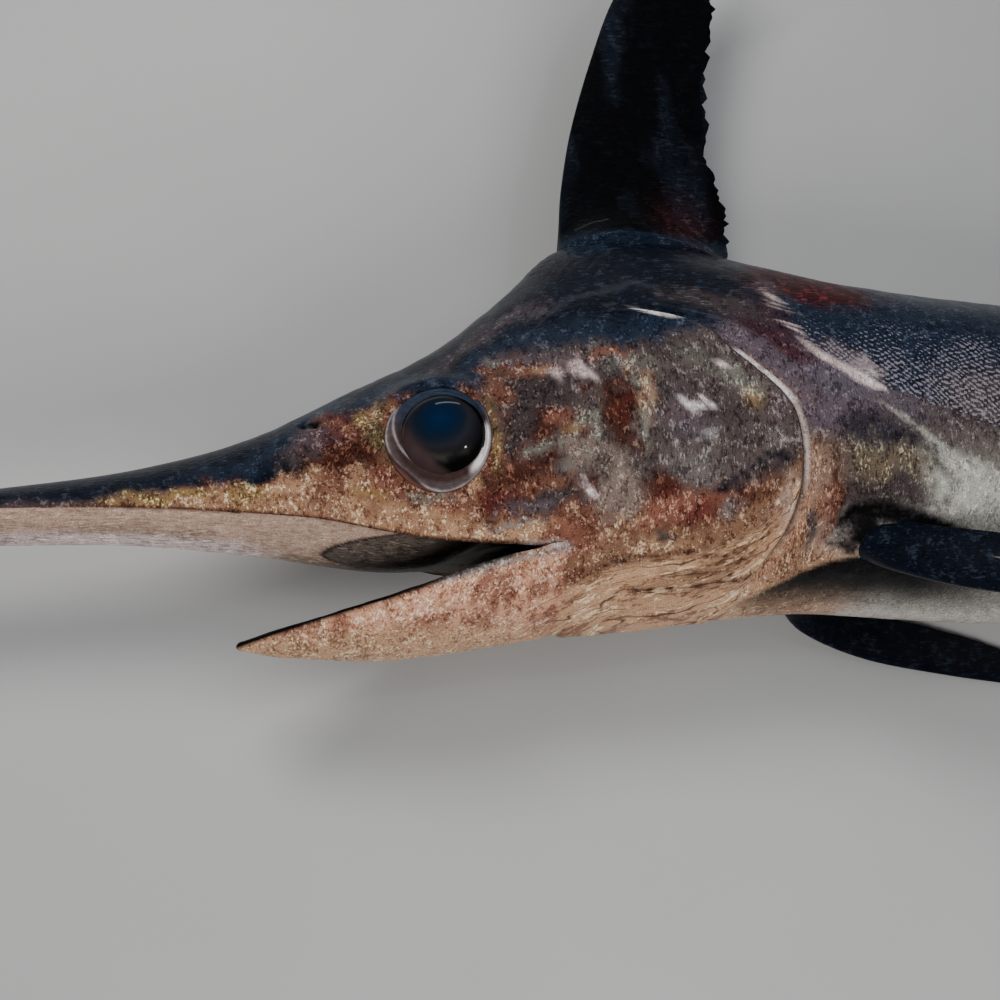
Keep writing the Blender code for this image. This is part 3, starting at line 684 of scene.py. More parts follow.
# %% Pigments
PIGMENTS = {
    "night": ("#05070e", "#0b101d", "#2a3240"), "navy": ("#0f1624", "#202939", "#424c5d"),
    "deepsea": ("#0c1420", "#1b2637", "#454c5e"), "teal": ("#0c1724", "#18283a", "#455668"),
    "smoke": ("#1f1819", "#3c3334", "#6f6563"), "mauve": ("#33282c", "#584a4f", "#93868a"),
    "slate": ("#2c2424", "#524745", "#8f8580"), "ash": ("#4c4646", "#7c7775", "#c3c4bf"),
    "sage": ("#3e3b38", "#74736b", "#b9bbae"), "bone": ("#8f7c7b", "#c8b5b3", "#f0e5e2"),
    "rust": ("#3b1c15", "#6c4637", "#b08e7b"), "brick": ("#4c231a", "#805143", "#cda38e"),
    "umber": ("#1e0e0b", "#3e2019", "#7c4c39"), "maroon": ("#22131a", "#4c2c31", "#96706e"),
    "wine": ("#260b10", "#54231f", "#935a50"), "blood": ("#120305", "#350d10", "#7a2c30"),
    "cream": ("#744c37", "#ab8568", "#f2debb"), "gold": ("#4c3820", "#8c7048", "#f0dca8"),
    "olive": ("#33281d", "#65543c", "#b7a985"), "ginger": ("#4a2c1f", "#7f5f4a", "#c8a98a"),
    "throat": ("#785340", "#bb9475", "#eed6b4"), "jaw": ("#905b45", "#cd9c80", "#f6d8c0"),
    "pink": ("#957c6e", "#b09585", "#c3aa9a"), "plum": ("#30262d", "#5a4e57", "#7c7078"),
    "violet": ("#322e36", "#56505a", "#7f7784"), "moss": ("#2a2521", "#5a5148", "#aaa187"),
    "silver": ("#7b7b75", "#a9a9a1", "#d6d7cd"), "belly": ("#8a847f", "#b3aea7", "#d6d2ca"),
    "brown": ("#252022", "#423a3c", "#6c6365"), "black": ("#010102", "#030305", "#0c0d12"),
    "dun": ("#4c3d37", "#77675f", "#a8998f"), "shadow": ("#040405", "#0b0a0b", "#1c1a19"),
    "palate": ("#3a332f", "#5c524b", "#80736a"), "white": ("#b3a8aa", "#eae2e3", "#ffffff"),
    "claret": ("#170d12", "#33202a", "#61454c")}


def colour(code):
    """An sRGB hex colour as linear red, green and blue."""
    srgb = np.array([int(code[i:i + 2], 16) / 255 for i in (1, 3, 5)])
    return np.where(srgb <= 0.04045, srgb / 12.92, ((srgb + 0.055) / 1.055) ** 2.4)


tones = np.zeros((3, len(part), 3))
streaky, lengthwise, wet = np.zeros(len(part)), np.zeros(len(part)), np.full(len(part), 0.5)


def brush(pigment, mask, streaks=None, along=None, gloss=None):
    """Lays a pigment over the vertices, as strongly as the mask says."""
    mask = np.clip(mask, 0, 1)
    for tone, code in zip(tones, PIGMENTS[pigment]):
        tone[:] = tone * (1 - mask[:, None]) + colour(code) * mask[:, None]
    for values, amount in ((streaky, streaks), (lengthwise, along), (wet, gloss)):
        if amount is not None:
            values[:] = values * (1 - mask) + amount * mask


print("the palette holds", len(PIGMENTS), "pigments of three tones")

# %% [markdown]
# Two shapes are enough to paint with: an oval, for patches, and a stripe of changing width, for
# scratches, folds and edges. Their places are stations and levels in millimetres. Noise bends
# both. A finer noise, drawn out up the flank, frays an oval's edge, and crumbs eat into it.

# %% Ovals and stripes
PATCH_SOFTNESS, STRIPE_SOFTNESS = 0.45, 0.6
upright_wander = noise(world * (1, 0.35, 0.6), 0.007, 33.0)
crumbs = noise(world, 0.0055, 57.0)
CRUMBLE, STRIPE_WAVER = 0.35, 0.25


def patch(at_station, at_level, reach_along, reach_up, lean=0.0, bend_by=0.011):
    """An oval on the flank. Lean turns it, in degrees."""
    x = station - at_station / 1000 + bend_by * wander[:, 0]
    y = level - at_level / 1000 + bend_by * wander[:, 1] + 0.5 * bend_by * upright_wander
    cos, sin = math.cos(math.radians(lean)), math.sin(math.radians(lean))
    size = np.hypot((x * cos + y * sin) / (reach_along / 1000),
                    (y * cos - x * sin) / (reach_up / 1000))
    size = size + CRUMBLE * crumbs
    return (1 - ramp(size, 1 - PATCH_SOFTNESS, 1 + PATCH_SOFTNESS)) * body


def stripe(course, widths):
    """A line through places on the flank, whose half width changes from the first to the last."""
    points, widths = np.array(course) / 1000, np.array(widths) / 1000
    best, width_there = np.full(len(part), np.inf), np.full(len(part), widths[0])
    run = np.concatenate([[0], np.cumsum(np.linalg.norm(np.diff(points, axis=0), axis=1))])
    for i in range(len(points) - 1):
        step = points[i + 1] - points[i]
        x, y = station - points[i, 0], level - points[i, 1]
        t = np.clip((x * step[0] + y * step[1]) / (step @ step), 0, 1)
        distance = np.hypot(x - t * step[0], y - t * step[1])
        nearer = distance < best
        best = np.where(nearer, distance, best)
        share = (run[i] + t * (run[i + 1] - run[i])) / run[-1]
        here = np.interp(share, np.linspace(0, 1, len(widths)), widths)
        width_there = np.where(nearer, here, width_there)
    best = best + STRIPE_WAVER * width_there * wander[:, 0]
    soft = STRIPE_SOFTNESS * width_there
    return (1 - ramp(best, width_there - soft, width_there + soft)) * body


def lay_strokes(strokes, where, streaks=None):
    """Lays ovals: pigment, station, level and two reaches in millimetres, lean, strength."""
    for pigment, *oval, strength in strokes:
        brush(pigment, patch(*oval) * where * strength, streaks=streaks)
    print("laid", len(strokes), "strokes")


print("the wander bends a shape by up to %.0f mm" % (11 * np.abs(wander).max()))

# %% [markdown]
# The ground comes first. The head is slate and rust, and behind the gill cover the flank is plum
# and the belly silver-grey. The line down to which the back is navy is measured here too, because
# what lies under it is painted before it: it wavers, and drops from the crown along the snout.

# %% Ground colours
navy_edge = smooth_line([
    (-1.25, -0.056), (-0.743, -0.0445), (-0.61, -0.036), (-0.565, -0.030), (-0.52, -0.024),
    (-0.485, 0.004), (-0.453, 0.034), (-0.415, 0.034), (-0.392, 0.044), (-0.375, 0.048),
    (-0.325, 0.046), (-0.308, 0.070), (-0.285, 0.083), (-0.237, 0.091), (-0.142, 0.093),
    (-0.09, 0.100), (0.0, 0.128), (0.2, 0.11), (0.6, 0.075), (1.0, 0.03), (1.43, 0.0)])
height_over = level - navy_edge(station) + 0.006 * wander[:, 1] + 0.005 * upright_wander
head = 1 - ramp(nominal, -0.004, 0.004)
behind = (1 - head) * body
over_lip = level - lip(station)
brush("brown", body * 1.0, gloss=0.5)
brush("slate", head * ramp(level, -0.06, -0.02), streaks=0.8)
brush("rust", head * ramp(-level, 0.03, 0.07), streaks=0.2)
brush("belly", behind * ramp(-level, 0.05, 0.14), gloss=0.55)
brush("plum", behind * ramp(level, -0.02, 0.05), gloss=0.7)
print("%d of the skin's vertices are on the head" % np.count_nonzero(head * body > 0.5))

# %% [markdown]
# The strokes come next. The snout's side is a granular band of cream, gold and rust over the
# lip. Behind the eye the cheek is grey-brown with rusty, olive and pale patches.

# %% Strokes on the snout and the cheek
snout_side = head * ramp(station, -0.70, -0.56)
snout_side *= 1 - ramp(station, -0.30, -0.24)
brush("rust", snout_side, streaks=0.15, along=0.0, gloss=0.45)
low_band = snout_side * (1 - ramp(over_lip + 0.008 * wander[:, 0], 0.014, 0.028))
brush("cream", low_band * (0.66 + 0.4 * upright_wander), streaks=0.1)
SNOUT_STROKES = [
    ("gold", -600, -41, 50, 6, 4, 1), ("gold", -520, -41, 22, 10, 0, 0.8),
    ("night", -500, -16, 40, 14, 20, 1), ("brown", -470, 4, 30, 16, 20, 0.9),
    ("maroon", -440, 8, 28, 14, 10, 0.7), ("mauve", -466, 10, 14, 8, 20, 0.5),
    ("umber", -438, -16, 36, 15, 8, 1), ("umber", -420, 2, 12, 14, 0, 0.7),
    ("wine", -435, 30, 24, 5, 4, 0.8), ("brick", -430, 18, 14, 10, 0, 0.5),
    ("cream", -490, -36, 14, 12, 10, 0.8), ("cream", -470, -30, 10, 10, 0, 0.7),
    ("rust", -448, -30, 18, 10, 0, 0.8), ("cream", -426, -34, 14, 14, 30, 0.6),
    ("gold", -410, -44, 18, 8, -20, 0.7), ("brick", -400, -32, 16, 12, -30, 0.8),
    ("cream", -436, -52, 18, 6, -12, 0.8), ("rust", -455, -48, 14, 7, 0, 0.6),
    ("gold", -413, 26, 11, 10, 15, 1), ("cream", -403, 30, 8, 12, -20, 0.9),
    ("olive", -401, 4, 11, 22, 10, 1), ("olive", -398, 36, 6, 12, -20, 0.8),
    ("umber", -398, -20, 12, 16, 20, 0.3), ("cream", -392, -60, 16, 6, -18, 0.8),
    ("rust", -375, -58, 16, 10, -25, 0.9), ("sage", -362, -56, 20, 5, -8, 0.6),
    ("cream", -360, -72, 16, 8, -10, 0.7), ("brick", -340, -66, 14, 7, 0, 0.6),
    ("cream", -334, -80, 16, 8, 0, 0.9), ("rust", -318, -78, 12, 8, 0, 0.7),
    ("cream", -314, -50, 6, 14, -15, 0.9), ("cream", -306, -88, 10, 5, 0, 1),
    ("umber", -290, -44, 22, 14, -12, 0.8), ("wine", -296, -62, 20, 9, -5, 0.9)]
CHEEK_STROKES = [
    ("smoke", -262, 34, 40, 48, 0, 1), ("mauve", -240, 74, 50, 10, -3, 0.9),
    ("rust", -262, 66, 26, 8, -8, 0.8), ("navy", -318, 60, 20, 10, -42, 1),
    ("ash", -291, 78, 11, 5, -15, 0.8), ("cream", -243, 64, 16, 6, 5, 0.5),
    ("olive", -298, 8, 5, 32, 4, 0.7), ("gold", -296, -12, 4, 14, 0, 0.8),
    ("rust", -290, 44, 10, 18, 20, 0.8), ("smoke", -278, -4, 8, 24, 8, 0.9),
    ("umber", -248, 6, 14, 22, -20, 0.9), ("brick", -236, 18, 12, 8, 20, 0.8),
    ("rust", -224, 6, 16, 12, 25, 0.8), ("sage", -214, 14, 12, 5, 30, 0.8),
    ("gold", -226, 0, 10, 4, 25, 0.6), ("sage", -232, -10, 16, 4, 35, 0.8),
    ("sage", -204, 2, 5, 18, 15, 0.7), ("sage", -256, -14, 10, 5, 10, 0.8),
    ("dun", -218, -20, 24, 14, -20, 0.9), ("sage", -206, -26, 16, 5, -40, 0.6),
    ("sage", -228, -36, 16, 4, -30, 0.5), ("umber", -264, -30, 26, 12, 18, 0.9),
    ("rust", -262, -46, 28, 10, 6, 0.9), ("umber", -288, -30, 14, 12, -30, 0.7),
    ("smoke", -252, -64, 40, 9, 3, 1), ("mauve", -262, -66, 30, 3, 4, 0.8),
    ("rust", -228, -74, 22, 6, 12, 0.9), ("ash", -280, -80, 26, 4, 4, 0.7),
    ("cream", -268, -90, 30, 6, 5, 0.9), ("brick", -236, -90, 22, 6, 14, 0.8),
    ("dun", -186, -50, 28, 36, 15, 1), ("smoke", -200, -32, 12, 14, -30, 0.6),
    ("smoke", -182, 60, 22, 14, 0, 0.9), ("sage", -160, 70, 30, 14, 0, 0.4),
    ("smoke", -160, -30, 14, 18, -10, 0.8), ("bone", -212, 65, 16, 7, -25, 0.9),
    ("bone", -235, 58, 9, 7, 20, 0.8), ("mauve", -222, 50, 18, 3, -40, 0.8),
    ("bone", -196, 44, 16, 1.5, 4, 0.5), ("brick", -183, 84, 22, 6, 10, 0.9),
    ("blood", -213, -49, 7, 4, 0, 0.7), ("bone", -213, -54, 9, 3, -12, 1)]
lay_strokes(SNOUT_STROKES, head, streaks=0.1)
lay_strokes(CHEEK_STROKES, head, streaks=0.3)

# %% [markdown]
# The back is countershading: from above, a navy fish is lost against deep water. It goes over the
# cheek's strokes, so its uneven edge cuts them. The night tone deepens it upwards, a teal painted
# highlight lies at the dorsal fin's root, a mauve painted sheen runs along the forehead, and the
# nostril is a black oval with no wander.

# %% Crown and back
NOSTRIL = (-463, 30, 10, 3.5)
brush("navy", ramp(height_over, -0.009, 0.011) * body, along=0.5, gloss=0.7, streaks=0.0)
brush("night", ramp(height_over, 0.012, 0.035) * body * (1 - ramp(station, -0.02, 0.1)),
      along=0.8, gloss=0.75)
bill_top = 1 - ramp(station, -0.62, -0.50)
brush("night", ramp(height_over, -0.002, 0.008) * body * bill_top * 0.85)
# painted highlight: teal at the dorsal fin's root
dorsal_root_highlight = patch(-110, 222, 85, 16) * head
brush("teal", dorsal_root_highlight * 0.7, along=1.0, gloss=0.8)
brush("deepsea", patch(-140, 106, 60, 10) * head * 0.6, along=0.0, gloss=0.6)
brush("plum", patch(-250, 135, 25, 12, 30) * head * 0.5)
brush("black", patch(*NOSTRIL, bend_by=0.0) * head * 1.3)
# painted sheen: mauve along the upper forehead, over the eye
brush("mauve", patch(-300, 105, 60, 10, 38) * head * 0.35)
print("the nostril lies %.0f mm ahead of the eye" % (1000 * EYE_STATION - NOSTRIL[0]))

# %% [markdown]
# The gill cover is smoky grey with sage, mauve and rusty patches and a pale scrape. Under it the
# throat is golden, and the skin there lies in long folds that run to the gill cover's edge. Each
# fold is a dark thread with a wider, warmer shade on both sides, so it is two stripes on the same
# course.

# %% Strokes on the gill cover
GILL_STROKES = [
    ("slate", -92, 8, 76, 78, 0, 1), ("smoke", -110, 78, 60, 10, -12, 0.8),
    ("sage", -90, 62, 44, 12, -25, 0.35), ("brown", -122, 42, 40, 14, 0, 0.6),
    ("mauve", -124, 16, 24, 12, 0, 0.8), ("violet", -112, 0, 26, 12, 0, 0.5),
    ("smoke", -74, 14, 26, 16, 10, 0.7), ("smoke", -130, -6, 14, 16, 0, 0.5),
    ("ash", -116, -36, 26, 16, 0, 0.35), ("smoke", -70, -12, 20, 10, 20, 0.6),
    ("olive", -48, 30, 16, 14, -35, 0.7), ("sage", -56, 48, 24, 10, -35, 0.6),
    ("cream", -52, 32, 5, 8, 0, 0.5), ("mauve", -26, 18, 12, 16, -40, 0.8),
    ("smoke", -18, -6, 12, 28, 0, 0.3), ("ash", -40, -10, 8, 8, 0, 0.3),
    ("umber", -181, 18, 20, 24, -16, 1), ("wine", -178, 20, 10, 16, -16, 0.3),
    ("umber", -194, 46, 22, 6, 3, 1), ("umber", -166, -10, 10, 10, 0, 0.8),
    ("cream", -153, 32, 8, 20, 6, 0.8), ("sage", -155, 4, 5, 20, -12, 0.8),
    ("dun", -150, 30, 4, 16, 0, 0.6), ("dun", -165, 0, 2, 16, -10, 0.5),
    ("white", -105, 24, 13, 5, -10, 0.95), ("bone", -75, 65, 8, 2, -10, 1),
    ("cream", -170, 62, 4, 10, 0, 0.4), ("sage", -165, 50, 3, 8, 0, 0.6),
    ("smoke", -24, -42, 16, 16, 0, 1), ("night", -24, -36, 9, 5, 0, 0.9),
    ("night", -22, -52, 8, 5, 20, 0.8), ("smoke", -62, -50, 34, 7, 28, 1),
    ("night", -88, -60, 10, 5, 0, 0.9), ("umber", -146, -54, 20, 14, -20, 0.9),
    ("wine", -140, -60, 12, 10, 0, 0.6), ("brick", -128, -78, 44, 14, 10, 1),
    ("umber", -120, -88, 24, 8, 0, 0.9), ("wine", -106, -78, 18, 10, 0, 0.8),
    ("rust", -60, -62, 34, 10, 26, 0.9), ("umber", -52, -60, 18, 6, 26, 0.7),
    ("mauve", -74, -74, 18, 7, 15, 0.8), ("ash", -80, -78, 6, 8, 15, 0.7),
    ("olive", -158, -100, 22, 5, 15, 0.5), ("cream", -184, -88, 22, 3, 25, 0.9),
    ("bone", -30, -62, 20, 6, 42, 0.7)]
lay_strokes(GILL_STROKES, head * (1 - ramp(height_over, 0.0, 0.008)), streaks=0.7)
seam = stripe([(-90, -58), (-66, -42), (-46, -29), (-26, -27)], (3, 2, 2))
brush("night", seam * head * 0.8)

# %% Strokes and folds on the throat
brush("ginger", head * ramp(station, -0.24, -0.18) * band(under_fold, -0.010, 0.012) * 0.9)
brush("throat", fold_place, streaks=0.0, gloss=0.55)
THROAT_STROKES = [
    ("ginger", -190, -110, 40, 10, 12, 0.8), ("brick", -225, -106, 26, 8, 8, 0.7),
    ("cream", -150, -108, 30, 6, 8, 0.6), ("brown", -143, -100, 7, 5, 0, 1),
    ("brown", -182, -117, 9, 3, 40, 0.9), ("ginger", -120, -134, 40, 8, 15, 0.6),
    ("bone", -26, -74, 9, 14, -20, 0.6), ("cream", -34, -92, 12, 22, -25, 0.7),
    ("mauve", -12, -98, 6, 14, -18, 0.8), ("blood", -34, -130, 14, 5, 35, 0.9),
    ("wine", -55, -140, 20, 6, 20, 0.6), ("blood", -102, -143, 4, 4, 0, 0.8),
    ("throat", -160, -150, 80, 12, 4, 0.5)]
lay_strokes(THROAT_STROKES, head)
THROAT_FOLDS = [
    ([(-224, -132), (-187, -117), (-149, -115), (-91, -108), (-58, -96), (-34, -78), (-21, -66)],
     (1, 2, 1.6, 1.2, 2.2, 1.4)),
    ([(-116, -131), (-82, -127), (-67, -119), (-46, -112)], (1, 2.6, 1)),
    ([(-170, -140), (-120, -141), (-62, -134), (-36, -122), (-19, -104)], (1, 1.8, 1.2, 2, 1)),
    ([(-120, -112), (-84, -116), (-52, -104), (-30, -88)], (1, 1.5, 1))]
SHADE_WIDTH = 3.5  # a fold's shade is so many times as wide as its thread
for course, widths in THROAT_FOLDS:
    fold = stripe(course, widths)
    brush("umber", fold * (0.75 + 0.5 * upright_wander))
    brush("ginger", (stripe(course, np.array(widths) * SHADE_WIDTH) - fold) * 0.45)
print("drew", len(THROAT_FOLDS), "folds")

# %% [markdown]
# The lower jaw is peach and brick, with a black rim along its edge and a grey line under that, a
# painted highlight. Bands round the jaw's edge give both, as a flat brush would that follows
# the edge.

# %% Lower jaw
jaw = part == JAW
brush("jaw", jaw * 1.0, streaks=0.0, along=0.0, gloss=0.5)
brush("brick", jaw * ramp(wander[:, 0] + 0.5 * upright_wander, 0.0, 0.4) * 0.8)
brush("throat", jaw * ramp(-level, 0.158, 0.180), gloss=0.5)
jaw_height = level - jaw_edge(station)
rim = band(jaw_height, 0.0, 0.0035) * jaw * (1 - ramp(station, -0.30, -0.26))
brush("black", rim * 1.2, gloss=0.8)
# painted highlight: a grey line under the black rim
brush("ash", band(jaw_height, -0.004, 0.0028) * jaw * ramp(station, -0.37, -0.33) * 0.8)
print("the lower jaw is %.0f mm long" % (1000 * (MOUTH_CORNER - JAW_TIP)))

# %% [markdown]
# Inside, the mouth lies in shade, painted black further in and over the lower jaw's floor. The
# roof's front part, which runs on under the bill, is pale, dry and lightly stained. Two curves
# that meet in a low ridge bound it behind, and the bill's underside is one with it, so both are
# painted together.

# %% Roof of the mouth
PALATE_FRONT, RIDGE = -0.456, 0.38  # the ridge's place, from the middle 0 to the lip 1
lining = (part == FLOOR) | (part == ROOF)
brush("palate", lining * 1.0, along=1.0, gloss=0.7)
# painted shade: the lining turns black further into the mouth
brush("black", lining * ramp(station + 0.15 * np.abs(offset), -0.375, -0.31), gloss=0.6)
# painted shade: the lower jaw's floor inside the mouth is black
brush("black", (part == FLOOR) * 1.0, gloss=0.5)
across_roof = offset / np.maximum(surface_offset(station, lip(station)), 1e-9)
arch = np.abs(np.clip(across_roof, -1, 1) - RIDGE)
palate_front = np.where(across_roof > RIDGE,
                        PALATE_FRONT + 0.072 * (arch / (1 - RIDGE)) ** 2.0,
                        PALATE_FRONT + 0.05 * (arch / RIDGE) ** 1.4)
upper_lining = (part == ROOF) | ((part == OUTSIDE) & (over_lip < -0.0008) & (station < JAW_TIP))
pale_roof = upper_lining * (1 - ramp(station - palate_front, -0.002, 0.003))
brush("pink", pale_roof, streaks=0.0, along=1.0, gloss=0.4)
brush("palate", pale_roof * band(np.abs(across_roof), 0.0, 0.35) * 0.25)
brush("black", upper_lining * band(station, palate_front + 0.003, 0.003) * 0.9)
far_stain = ramp(station, -0.520, -0.490) * (arch > 0.1) * ramp(-across_roof, -0.4, -0.2)
brush("olive", pale_roof * far_stain * 0.5)
print("the pale part of the roof ends at station %.3f" % PALATE_FRONT)

# %% Underside of the bill, lips and mouth corner
bill_low = (level - lip(station)) / (bottom(station) - lip(station))
far_edge = pale_roof * band(bill_low, 0.93, 0.16) * (1 - ramp(station, -0.56, -0.46))
brush("bone", far_edge * 1.2, along=1.0)
stains = pale_roof * ramp(noise(world * (0.35, 1, 1), 0.016, 71.0), 0.15, 0.6)
brush("olive", stains * 0.35)
lip_line = band(over_lip, 0.0, 0.0018) * (station < MOUTH_CORNER - 0.005) * (part == OUTSIDE)
brush("umber", lip_line * ramp(station, -0.75, -0.60) * (offset > 0) * 0.9)
brush("umber", lip_line * (offset < 0) * 0.9)
corner_fold = band(over_lip, -0.002, 0.003) * ramp(station, -0.285, -0.265)
brush("bone", corner_fold * (1 - ramp(station, -0.235, -0.225)) * outside, gloss=0.7)
print("the lip line is %.0f mm long" % (1000 * (MOUTH_CORNER - BILL_TIP)))

# %% [markdown]
# Behind the gill cover the shoulder is plum and claret, then comes a mossy patch over the
# pectoral fin, and the flank pales to silver towards the belly.

# %% Shoulder and flank
BEHIND_STROKES = [
    ("plum", 20, 70, 75, 72, -30, 1), ("wine", -30, 88, 36, 8, -42, 0.6),
    ("claret", -26, 100, 50, 18, -42, 0.9), ("maroon", 4, 66, 30, 14, -40, 0.4),
    ("brown", -60, 130, 60, 14, -15, 0.8), ("claret", -10, 124, 30, 14, -52, 0.9),
    ("violet", 30, 42, 36, 14, -14, 0.8), ("mauve", 6, 28, 16, 10, -30, 0.6),
    ("night", 64, -8, 46, 14, -11, 0.7), ("plum", 18, 4, 14, 14, 0, 0.8),
    ("moss", 85, -42, 55, 20, -8, 1), ("olive", 62, -44, 14, 16, 0, 0.3),
    ("gold", 95, -38, 30, 8, -6, 0.12), ("smoke", 76, -66, 50, 14, -6, 0.9),
    ("silver", 176, -68, 60, 40, -30, 0.95), ("slate", 125, -2, 60, 14, -35, 0.7),
    ("violet", 110, 14, 46, 10, -25, 0.6), ("slate", 180, -20, 60, 24, -35, 0.7)]
lay_strokes(BEHIND_STROKES, behind, streaks=0.7)

# %% [markdown]
# On the shoulder lies a net of pale scale marks, which a swordfish's scales leave when it loses
# them, and above it a bruise. The marks are finer than the skin's meshes, so only their strength
# is painted here, and the material draws them.

# %% The net's place, and the bruise over it
net_low = np.interp(station, [-0.010, 0.002, 0.011, 0.040, 0.075, 0.16, 0.24],
                    [0.146, 0.110, 0.086, 0.061, 0.036, 0.004, -0.03])
net_high = np.interp(station, [0.0, 0.06, 0.12, 0.20], [0.135, 0.130, 0.116, 0.100])
hatch = behind * ramp(level - net_low, -0.002, 0.006) * ramp(station, -0.010, 0.010)
hatch *= (1 - ramp(level, 0.132, 0.156)) * (1 - ramp(station, 0.20, 0.34))
brush("deepsea", hatch, streaks=0.0, along=0.4, gloss=0.6)
brush("slate", hatch * ramp(station, 0.10, 0.18) * (1 - ramp(level, 0.03, 0.07)) * 0.7)
hatch *= np.clip(0.42 + 0.7 * wander[:, 1] + 2.2 * (station - 0.09) - 12 * (level - 0.092), 0, 1)
hatch *= 1 - ramp(level - net_high, -0.028, 0.006)
bruise = patch(46, 162, 58, 24, -9) * behind
brush("blood", bruise * 1.5, along=0.8, streaks=0.0, gloss=0.3)
hatch *= 1 - bruise
brush("mauve", patch(-2, 156, 12, 14, -30) * behind * 0.7)
print("the net of marks covers", np.count_nonzero(hatch > 0.3), "vertices")

# %% [markdown]
# Under the net the skin has been scraped raw: a bone-white line of changing width, and a patch
# beside it. A fold runs down from there to the belly, and a painted highlight and a painted shade,
# side by side, draw it.

# %% Scrape along the net, and the fold under it
scrape = stripe([(-7, 144), (2, 110), (11, 86), (24, 69), (40, 60), (56, 47), (78, 34)],
                (3, 1.5, 2, 3, 4, 6, 3))
brush("bone", scrape * behind, gloss=0.6)
brush("white", scrape * behind * ramp(station, 0.035, 0.055) * 0.5)
raw = patch(54, 66, 34, 12, -34) * behind * ramp(level - net_low, -0.004, 0.004)
hatch = np.maximum(hatch, 1.1 * raw)
brush("mauve", raw * 0.6, streaks=0.0, along=0.6)
brush("bone", raw * ramp(station - level, -0.020, 0.020) * 0.6)
# painted highlight along the fold
fold_light = stripe([(68, 21), (95, 4), (125, -20), (152, -45), (176, -66)], (1, 3, 3, 4, 3))
brush("silver", fold_light * behind * 0.5, gloss=0.8)
# painted shade beside the fold
fold_shade = stripe([(60, 12), (90, -6), (118, -30), (138, -52)], (4, 5, 5))
brush("brown", fold_shade * behind * 0.5)
print("the raw skin covers", np.count_nonzero(raw > 0.5), "vertices")

# %% [markdown]
# The gill cover slides over a margin of warm brown skin as it opens and shuts. The net's rings
# run along the slit, so a ring's nominal station is about its distance behind the slit, and a
# band of that follows the slit's curve.

# %% Skin beside the gill slit
after_slit = nominal > 0
slit_range = ramp(level, -0.13, -0.10) * (1 - ramp(level, 0.126, 0.134))
apron = behind * (1 - ramp(station + 0.015 * wander[:, 0], 0.015, 0.100))
apron *= 1 - ramp(level, -0.125, -0.095)
brush("throat", apron, streaks=0.6)
brush("ginger", apron * ramp(nominal, 0.010, 0.030) * 0.6)
margin = band(nominal, 0.020, 0.018) * (1 - ramp(level, -0.045, 0.000)) * ramp(level, -0.15, -0.12)
brush("ginger", margin * after_slit * 1.1, streaks=1.0)
brush("jaw", margin * band(nominal, 0.011, 0.008) * after_slit * 0.6)
brush("dun", margin * ramp(level, -0.085, -0.055) * after_slit * 0.55)
brush("umber", patch(24, -66, 7, 26, -6) * behind * 0.9, streaks=1.0)
brush("brick", patch(14, -86, 8, 30, -10) * behind * 0.5, streaks=1.0)
brush("brown", patch(45, -98, 14, 18) * behind * 0.8)
print("the brown margin covers", np.count_nonzero(margin * after_slit > 0.5), "vertices")

# %% [markdown]
# The gill cover's hind edge is a thin flap. Its lining shows as a line, pink below and white
# above, and the slit behind it is painted black, a painted shadow under the flap.

# %% The gill cover's edge and the slit
inner = band(nominal, 0.0035, 0.0038) * after_slit * (1 - ramp(level, 0.020, 0.045)) * slit_range
inner *= np.clip(0.75 + 0.9 * upright_wander, 0, 1)
brush("pink", inner * ramp(level, -0.12, -0.08), streaks=0.6, gloss=0.6)
brush("rust", inner * ramp(wander[:, 1], 0.0, 0.4) * 0.5)
lining_edge = band(nominal, 0.0030, 0.0022) * after_slit * (1 - ramp(level, 0.005, 0.020))
brush("white", lining_edge * ramp(level, -0.07, -0.04) * 0.8)
brush("brown", patch(-2, -92, 5, 15, -14) * after_slit * 0.9)
edge_light = ramp(level, 0.018, 0.030) * (1 - ramp(level, 0.074, 0.082)) * slit_range
brush("ginger", band(nominal, 0.0120, 0.0030) * edge_light * after_slit * 0.8)
brush("white", band(nominal, 0.0060, 0.0036) * edge_light * after_slit * 1.5, streaks=0.0,
      gloss=0.8)
white_high = stripe([(-151, 128.5), (-136, 121.5), (-118, 116.5), (-106, 113.5)],
                    (1.4, 2.6, 2.6, 1.0))
brush("white", white_high * 2.0, streaks=0.0, gloss=0.8)
# painted shadow: the slit under the flap's edge is painted black
brush("black", band(nominal, 0.0010, 0.0018) * slit_range * 1.4, gloss=0.6)
print("the slit runs over", np.count_nonzero((slit_range > 0.5) & (nominal == 0)), "vertices")

# %% [markdown]
# The fish lies in its own shade, which is painted: the underside behind the throat and the hollow
# round the pectoral fin's root are painted nearly black, a painted shadow.

# %% Painted shadow on the underside and round the pectoral fin's root
under_edge = np.interp(station, [-0.10, -0.052, 0.0, 0.020, 0.047, 0.080, 0.118, 0.20, 0.36],
                       [-0.165, -0.150, -0.129, -0.122, -0.118, -0.116, -0.122, -0.130, -0.150])
below = under_edge - level + 0.0015 * wander[:, 0]
underside_shadow = behind * ramp(below, -0.001, 0.003)
underside_shadow *= ramp(station, -0.075, -0.050) * (1 - ramp(station, 0.12, 0.36))
underside_shadow *= ramp(np.abs(offset) + 0.004 * wander[:, 1], 0.0, 0.065)
# painted shadow: the underside behind the throat, nearly black
brush("shadow", underside_shadow, gloss=0.4)
# painted shadow along the pectoral fin's upper edge and round its root
pectoral_shadow = stripe([(34, -92), (46, -83), (70, -83), (95, -88), (116, -93), (138, -98), (165, -103)],
                (4, 7, 11, 10, 8, 6, 3))
brush("shadow", pectoral_shadow * behind * 1.1, gloss=0.4)
brush("shadow", patch(60, -100, 20, 18) * behind * 1.1, gloss=0.4)
print("the dark underside covers", np.count_nonzero(underside_shadow > 0.5), "vertices")
